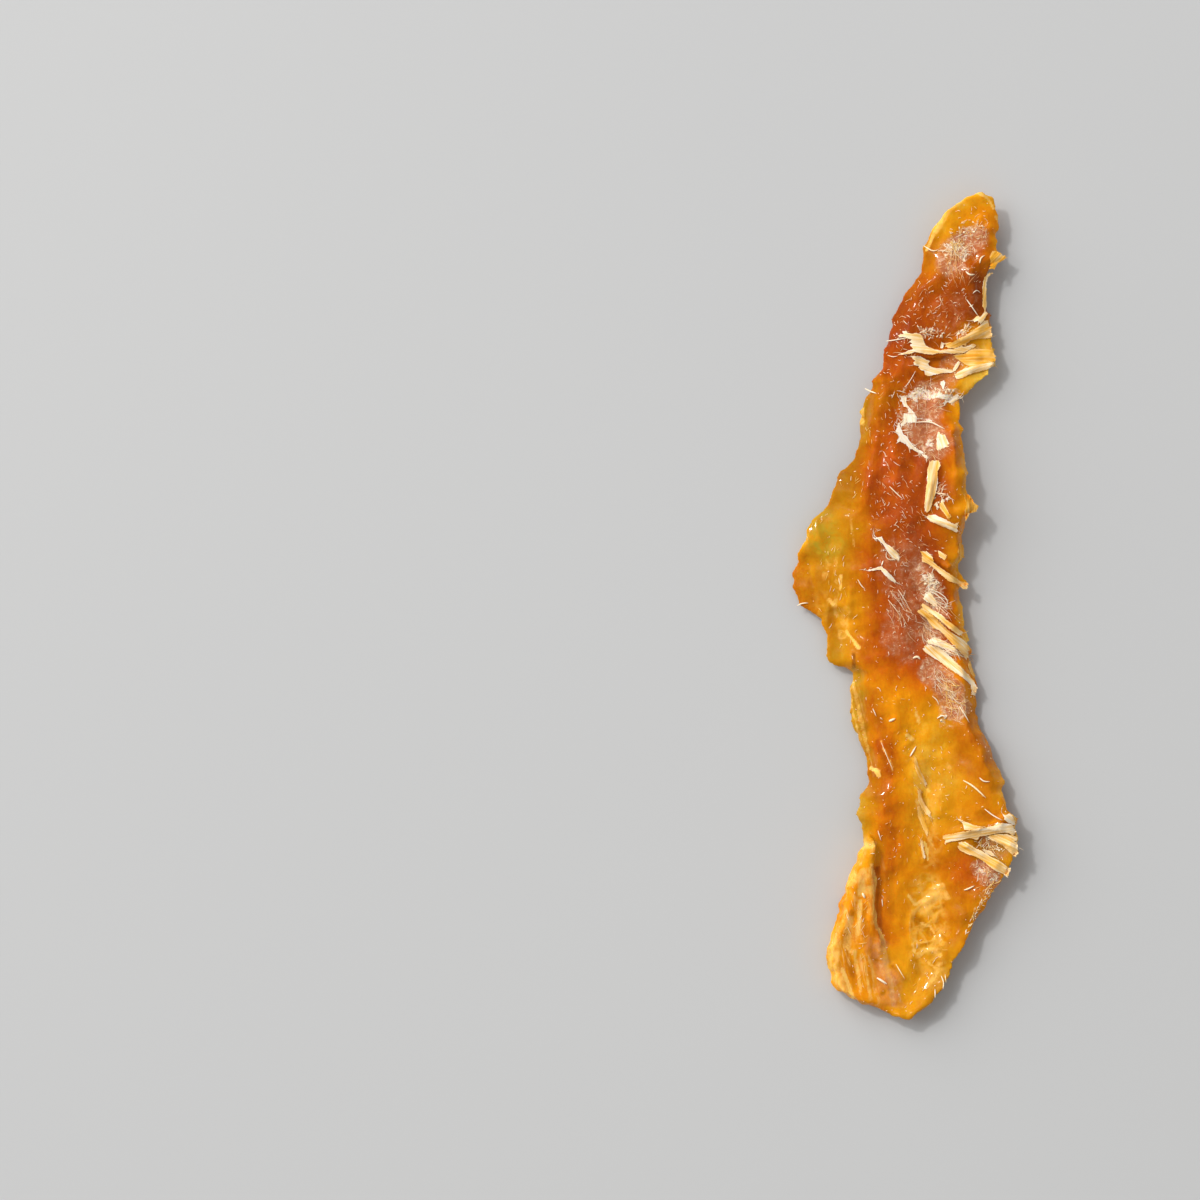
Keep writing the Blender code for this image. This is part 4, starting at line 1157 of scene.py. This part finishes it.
# scattered hairs: reach, count, shortest, longest, thinnest and thickest half width, heading in degrees,
# curl, share that is white rather than clear, then the line they are scattered round
fibreZones = [
    (2.34, 50, 0.6, 1.8, 0.0225, 0.0488, None, 1.4, 0.4, 145, 685, 109, 670, 82, 627),
    (1.44, 26, 1.5, 4.0, 0.0225, 0.045, 95, 0.4, 0.15, 85, 631, 96, 570),
    (3.6, 40, 0.5, 1.6, 0.0225, 0.045, 60, 1.0, 0.15, 37, 570, 82, 498),
    (3.24, 46, 0.8, 2.8, 0.0188, 0.0375, None, 0.8, 0.2, 37, 375, 31, 327, 60, 289),
    (0.72, 30, 0.4, 1.5, 0.03, 0.0675, None, 0.8, 0.95, -14, 328, -3, 296, 39, 269),
    (0.9, 34, 0.5, 1.7, 0.0263, 0.06, None, 0.8, 0.85, -8, 368, 21, 388, 91, 382),
    (1.26, 60, 0.5, 1.8, 0.03, 0.0675, None, 1.8, 0.8, 40, 55, 48, 37),
    (1.08, 14, 2.5, 5.0, 0.03, 0.0525, -40, 0.9, 0.8, 37, 15, 71, 4),
    (1.08, 36, 1.2, 3.0, 0.0225, 0.045, -60, 0.5, 0.5, 30, -28, 46, -50),
    (0.9, 60, 1.5, 4.0, 0.03, 0.06, -25, 0.35, 0.6, 42, -62, 89, -82),
    (1.98, 56, 0.8, 2.2, 0.0188, 0.0375, -50, 1.2, 0.15, 39, -104, 71, -132, 96, -161, 89, -190),
    (2.16, 40, 1.0, 3.2, 0.0225, 0.045, -58, 0.4, 0.35, -23, 30, 1, -28),
    (1.44, 26, 0.6, 1.8, 0.0225, 0.0525, None, 1.5, 0.6, -30, 102, -5, 73),
    (1.26, 44, 0.5, 1.6, 0.03, 0.06, None, 1.0, 0.5, 129, -467, 157, -485, 143, -507),
    (1.08, 24, 0.6, 1.6, 0.0375, 0.0675, None, 0.8, 0.7, 132, -424, 172, -435),
    (0.54, 26, 0.4, 1.1, 0.0375, 0.075, 55, 0.5, 0.8, 145, -516, 121, -555, 103, -593),
    (0.72, 22, 0.6, 1.6, 0.0375, 0.075, 0, 1.8, 0.7, 21, 494, 71, 485),
    (0.54, 14, 0.5, 1.3, 0.0375, 0.075, 30, 1.8, 0.7, 94, 487, 114, 498),
    (1.08, 26, 0.6, 1.8, 0.03, 0.0675, None, 1.6, 0.7, 49, 213, 75, 192),
    (2.88, 22, 0.4, 1.1, 0.0225, 0.0525, None, 0.5, 0.5, 1, 552, -17, 444),
    (2.52, 22, 0.5, 1.4, 0.0225, 0.0525, 80, 0.4, 0.4, -35, 372, -62, 282, -98, 192),
    (3.96, 60, 0.4, 1.5, 0.0225, 0.045, -50, 0.9, 0.3, -35, 237, 19, 120),
    (3.96, 30, 0.5, 1.4, 0.0225, 0.0525, 75, 0.4, 0.4, -152, 138, -107, -60),
    (6.84, 34, 0.3, 1.0, 0.0225, 0.06, -60, 0.6, 0.4, -44, -150, 100, -348),
    (5.04, 26, 0.3, 0.9, 0.0225, 0.06, 75, 0.6, 0.4, -35, -384, -8, -456, 46, -600),
    (2.88, 30, 0.5, 1.6, 0.0225, 0.0525, 80, 0.3, 0.4, -98, -528, -80, -690),
    (2.52, 16, 0.4, 1.2, 0.03, 0.06, 60, 0.4, 0.6, 46, -618, 19, -708),
    (4.32, 70, 0.25, 0.8, 0.025, 0.055, None, 1.7, 0.55, 100, 597, 46, 516),
    (3.6, 60, 0.25, 0.7, 0.025, 0.055, None, 1.7, 0.5, 1, 498, -26, 336, -35, 156),
    (4.68, 110, 0.25, 0.8, 0.025, 0.06, None, 1.7, 0.6, -17, 246, -35, 84, -8, -60),
    (2.88, 40, 0.25, 0.7, 0.03, 0.065, None, 1.7, 0.8, 127, 705, 82, 642),
    (1.62, 50, 1.2, 3.2, 0.025, 0.05, -55, 1.1, 0.75, 57, -118, 82, -150, 93, -183),
    (1.62, 36, 0.8, 2.2, 0.03, 0.06, None, 1.4, 0.8, 85, 642, 111, 642),
    (4.32, 40, 0.2, 0.6, 0.025, 0.05, None, 1.5, 0.4, -26, -132, -26, -456),
]
# single hairs that stand out: width, then the line
namedFibres = [
    (0.23, 33, 647, 49, 636, 58, 640),
    (0.22, 109, 550, 130, 521),
    (0.16, 114, 537, 121, 541),
    (0.16, 120, 561, 127, 568, 134, 562),
    (0.27, 132, 615, 134, 625, 141, 629),
    (0.32, 107, 600, 114, 593, 123, 595),
    (0.18, -35, 476, -15, 478, -1, 481),
    (0.2, -14, 451, -3, 454, 10, 458),
    (0.14, -32, 451, -23, 447, -15, 449),
    (0.27, -73, 391, -64, 386, -53, 382),
    (0.13, -1, 393, 10, 408, 17, 422),
    (0.25, 17, 330, 44, 332, 60, 323, 69, 318),
    (0.2, -30, 215, -19, 204, -6, 192),
    (0.25, -44, 73, -41, 82),
    (0.16, -35, 98, -37, 87, -26, 82, -14, 87),
    (0.16, -14, 30, -5, 17, 4, 1),
    (0.14, -32, 12, -21, -1, -10, -17),
    (0.18, -86, 48, -80, 37, -73, 31),
    (0.18, 31, 19, 42, 30, 64, 15, 75, 1),
    (0.16, 42, 30, 60, 26, 78, 10, 71, -3),
    (0.23, -194, 1, -185, 6, -174, 6),
    (0.18, -120, 51, -118, 39),
    (0.43, 13, -93, 21, -89, 26, -95),
    (0.29, 8, -269, 19, -251),
    (0.32, 103, -312, 120, -321, 143, -343),
    (0.25, 132, -307, 139, -314, 150, -314),
    (0.43, -30, -206, -19, -201),
    (0.22, 141, -363, 156, -375, 172, -383),
    (0.13, -44, -244, -33, -271, -23, -294),
    (0.16, -59, -183, -53, -197),
    (0.18, 48, -161, 57, -168, 60, -177),
    (0.29, 57, -201, 67, -194, 73, -201),
    (0.18, 96, -179, 105, -192, 114, -208),
    (0.18, -50, -402, -44, -420),
    (0.31, 105, -509, 112, -507, 123, -501),
    (0.18, -17, -642, -10, -654, -1, -669),
    (0.4, -51, -667, -44, -671, -33, -678),
    (0.23, 64, -663, 69, -674, 67, -687),
    (0.18, 71, -660, 73, -676),
    (0.22, 53, -687, 53, -703),
    (0.43, -78, -514, -73, -523),
    (0.18, -42, -525, -41, -539),
]
fibres = {
    "rodSides": 5,
    "rodSteps": 7,
    "lift": 0.05,
    "arch": (0.0, 0.35),
    "namedArch": 0.12,
    "headingSpread": 22,
    "taper": (0.45, 1.0, 1.0, 0.9, 0.35),
    "flatness": 0.8,
    "seed": 8,
    "clear": ((250, 202, 96), (232, 160, 98)),
    "warm": ((255, 226, 150), (252, 220, 174)),
    "white": (255, 240, 212),
    "mottleScale": 900.0,
    "shader": {"Roughness": 0.5, "Specular IOR Level": 0.18},
}

print("stockfish: white fibres")
chance = random.Random(fibres["seed"])
hairShape, hairFaces = makeRod("hairRod", fibres["rodSides"], fibres["rodSteps"])
copies, tints, grounds = [], [], []


def layHair(line, halfWidth, arch, tint):
    ground = heightsAt(line)
    ground = np.maximum(ground, np.convolve(np.pad(ground, 1, mode="edge"), np.ones(3) / 3, mode="valid"))
    bow = fibres["lift"] + halfWidth * 0.5 + arch * np.sin(math.pi * np.linspace(0, 1, len(line)))
    widths = halfWidth * np.array(fibres["taper"])
    copies.append(bendRod(hairShape, np.column_stack([line, ground + bow]), widths, fibres["flatness"]))
    tints.append(np.full(len(hairShape), tint))
    below = blendStrokes(line[len(line) // 2][None, :], fleshToneAndShade)[0, 0]
    grounds.append(np.full(len(hairShape), below))


def scatterSpot(spread, reach):
    return spread[chance.randrange(len(spread))] + np.array([chance.gauss(0, 0.5), chance.gauss(0, 0.5)]) * reach


for wide, *path in namedFibres:
    layHair(roundedPath(path, 10), wide / 2, fibres["namedArch"], chance.uniform(0.7, 1))
for reach, count, short, long, thin, thick, way, curl, white, *path in fibreZones:
    spread = roundedPath(path, 12)
    for hair in range(count):
        centre = scatterSpot(spread, reach)
        if heightBelow(centre) is None:
            continue
        length = chance.uniform(short, long)
        heading = chance.uniform(0, 360) if way is None else way + chance.gauss(0, fibres["headingSpread"])
        bend = chance.uniform(-1, 1) * curl * 60 / max(length, 0.6)
        line = [centre]
        for step in range(8):
            heading += bend * length / 8 + chance.gauss(0, 7)
            turn = math.radians(heading)
            line.append(line[-1] + np.array([math.cos(turn), math.sin(turn)]) * length / 8)
        tint = chance.uniform(0.6, 1) if chance.random() < white else chance.uniform(0, 0.35)
        layHair(np.array(line), chance.uniform(thin, thick), chance.uniform(*fibres["arch"]) * length / 3, tint)
hairPiece = joinCopies("whiteFibres", repeatFaces(hairFaces, len(hairShape), len(copies)), copies,
                       tint=tints, ground=grounds)
print("stockfish: fibres", len(copies))
hairSkin, tree, shader = newMaterial("whiteFibreFinish")
place = addNode("TexCoord").outputs["Object"]
hairShare = add(readAttribute("tint"), sway(noiseNode(place, fibres["mottleScale"], 2.0), 0.5), True)
onRed = maskBetween(readAttribute("ground"), 0.35, 0.75)
clearPaint = mixColours(onRed, *fibres["clear"])
warmPaint = mixColours(onRed, *fibres["warm"])
hairPaint = mixColours(maskBetween(hairShare, 0.0, 0.5), clearPaint, warmPaint)
hairPaint = mixColours(maskBetween(hairShare, 0.5, 1.0), hairPaint, fibres["white"])
feed(shader.inputs["Base Color"], hairPaint)
setSockets(shader, fibres["shader"])
finishPiece(hairPiece, hairSkin)

# thin white plates where the film has dried thick: reach, count, smallest, largest, then the line
filmPlates = [
    (0.72, 8, 0.2, 0.5, 24, 388, 60, 393, 94, 381),
    (0.54, 5, 0.2, 0.45, 67, 372, 82, 377),
    (0.9, 22, 0.15, 0.5, 40, 55, 53, 33),
    (1.62, 20, 0.15, 0.4, 145, 678, 111, 674, 82, 649, 75, 620),
    (0.72, 10, 0.15, 0.4, 24, 498, 71, 483),
    (0.54, 8, 0.15, 0.4, 96, 487, 111, 498),
    (1.08, 12, 0.1, 0.3, 136, -467, 161, -482),
    (0.45, 10, 0.1, 0.3, 145, -516, 127, -543, 121, -568),
    (0.72, 10, 0.15, 0.5, 64, 192, 53, 177),
    (0.9, 10, 0.15, 0.4, 143, -420, 172, -438),
    (0.54, 6, 0.2, 0.5, 71, -194, 67, -204),
]
crumbs = {
    "evenCount": 480,
    "laceCount": 200,
    "radius": (0.03, 0.085),
    "stretch": (1.3, 4.5),
    "flattened": 0.6,
    "plateThickness": 0.1,
    "seed": 15,
    "colours": ((248, 206, 132), (255, 240, 214)),
    "mottleScale": 1200.0,
    "shader": {"Roughness": 0.4, "Specular IOR Level": 0.25},
}

print("stockfish: crumbs")
chance = random.Random(crumbs["seed"])
bpy.ops.object.select_all(action="DESELECT")
bpy.ops.mesh.primitive_ico_sphere_add(subdivisions=1, radius=1)
crumbBlank = bpy.context.active_object
bpy.ops.object.mode_set(mode="EDIT")
bpy.ops.mesh.select_all(action="SELECT")
bpy.ops.transform.resize(value=(1, 1, crumbs["flattened"]))
bpy.ops.object.mode_set(mode="OBJECT")
crumbShape, crumbFaces = takeShape(crumbBlank)
laceOrFilm = np.maximum(masks["lace"], 0.6 * masks["film"])
topSpots = np.flatnonzero(upward > 0.3)
laceSpots = np.flatnonzero((upward > 0.3) & (laceOrFilm > 0.35))
copies, tints = [], []


def dropCrumb(centre, size, tint):
    angle = chance.uniform(0, math.tau)
    rough = crumbShape * np.array([[chance.uniform(0.6, 1.3)] for corner in crumbShape]) * np.array(size)
    across = rough[:, 0] * math.cos(angle) - rough[:, 1] * math.sin(angle)
    along = rough[:, 0] * math.sin(angle) + rough[:, 1] * math.cos(angle)
    copies.append(np.array(centre) + np.column_stack([across, along, rough[:, 2] + size[2] * 0.3]))
    tints.append(np.full(len(crumbShape), tint))


for pool, count in ((topSpots, crumbs["evenCount"]), (laceSpots, crumbs["laceCount"])):
    for crumb in range(count):
        radius = chance.uniform(*crumbs["radius"])
        dropCrumb(moved[pool[chance.randrange(len(pool))]] / mm,
                  (radius * chance.uniform(*crumbs["stretch"]), radius, radius), chance.random())
for reach, count, small, large, *path in filmPlates:
    spread = roundedPath(path, 16)
    for plate in range(count):
        spot = scatterSpot(spread, reach)
        wide = chance.uniform(small, large)
        size = (wide * chance.uniform(0.7, 1.3), wide * chance.uniform(0.4, 0.9), wide * crumbs["plateThickness"])
        dropCrumb((*spot, heightsAt([spot])[0]), size, chance.uniform(0.5, 1))
crumbPiece = joinCopies("filmCrumbs", repeatFaces(crumbFaces, len(crumbShape), len(copies)), copies, tint=tints)
crumbSkin, tree, shader = newMaterial("filmCrumbFinish")
place = addNode("TexCoord").outputs["Object"]
mottle = noiseNode(place, crumbs["mottleScale"], 2.0)
crumbShare = add(multiply(readAttribute("tint"), 0.7), multiply(mottle, 0.4), True)
feed(shader.inputs["Base Color"], mixColours(crumbShare, *crumbs["colours"]))
setSockets(shader, crumbs["shader"])
finishPiece(crumbPiece, crumbSkin)

# end
print("stockfish: done")
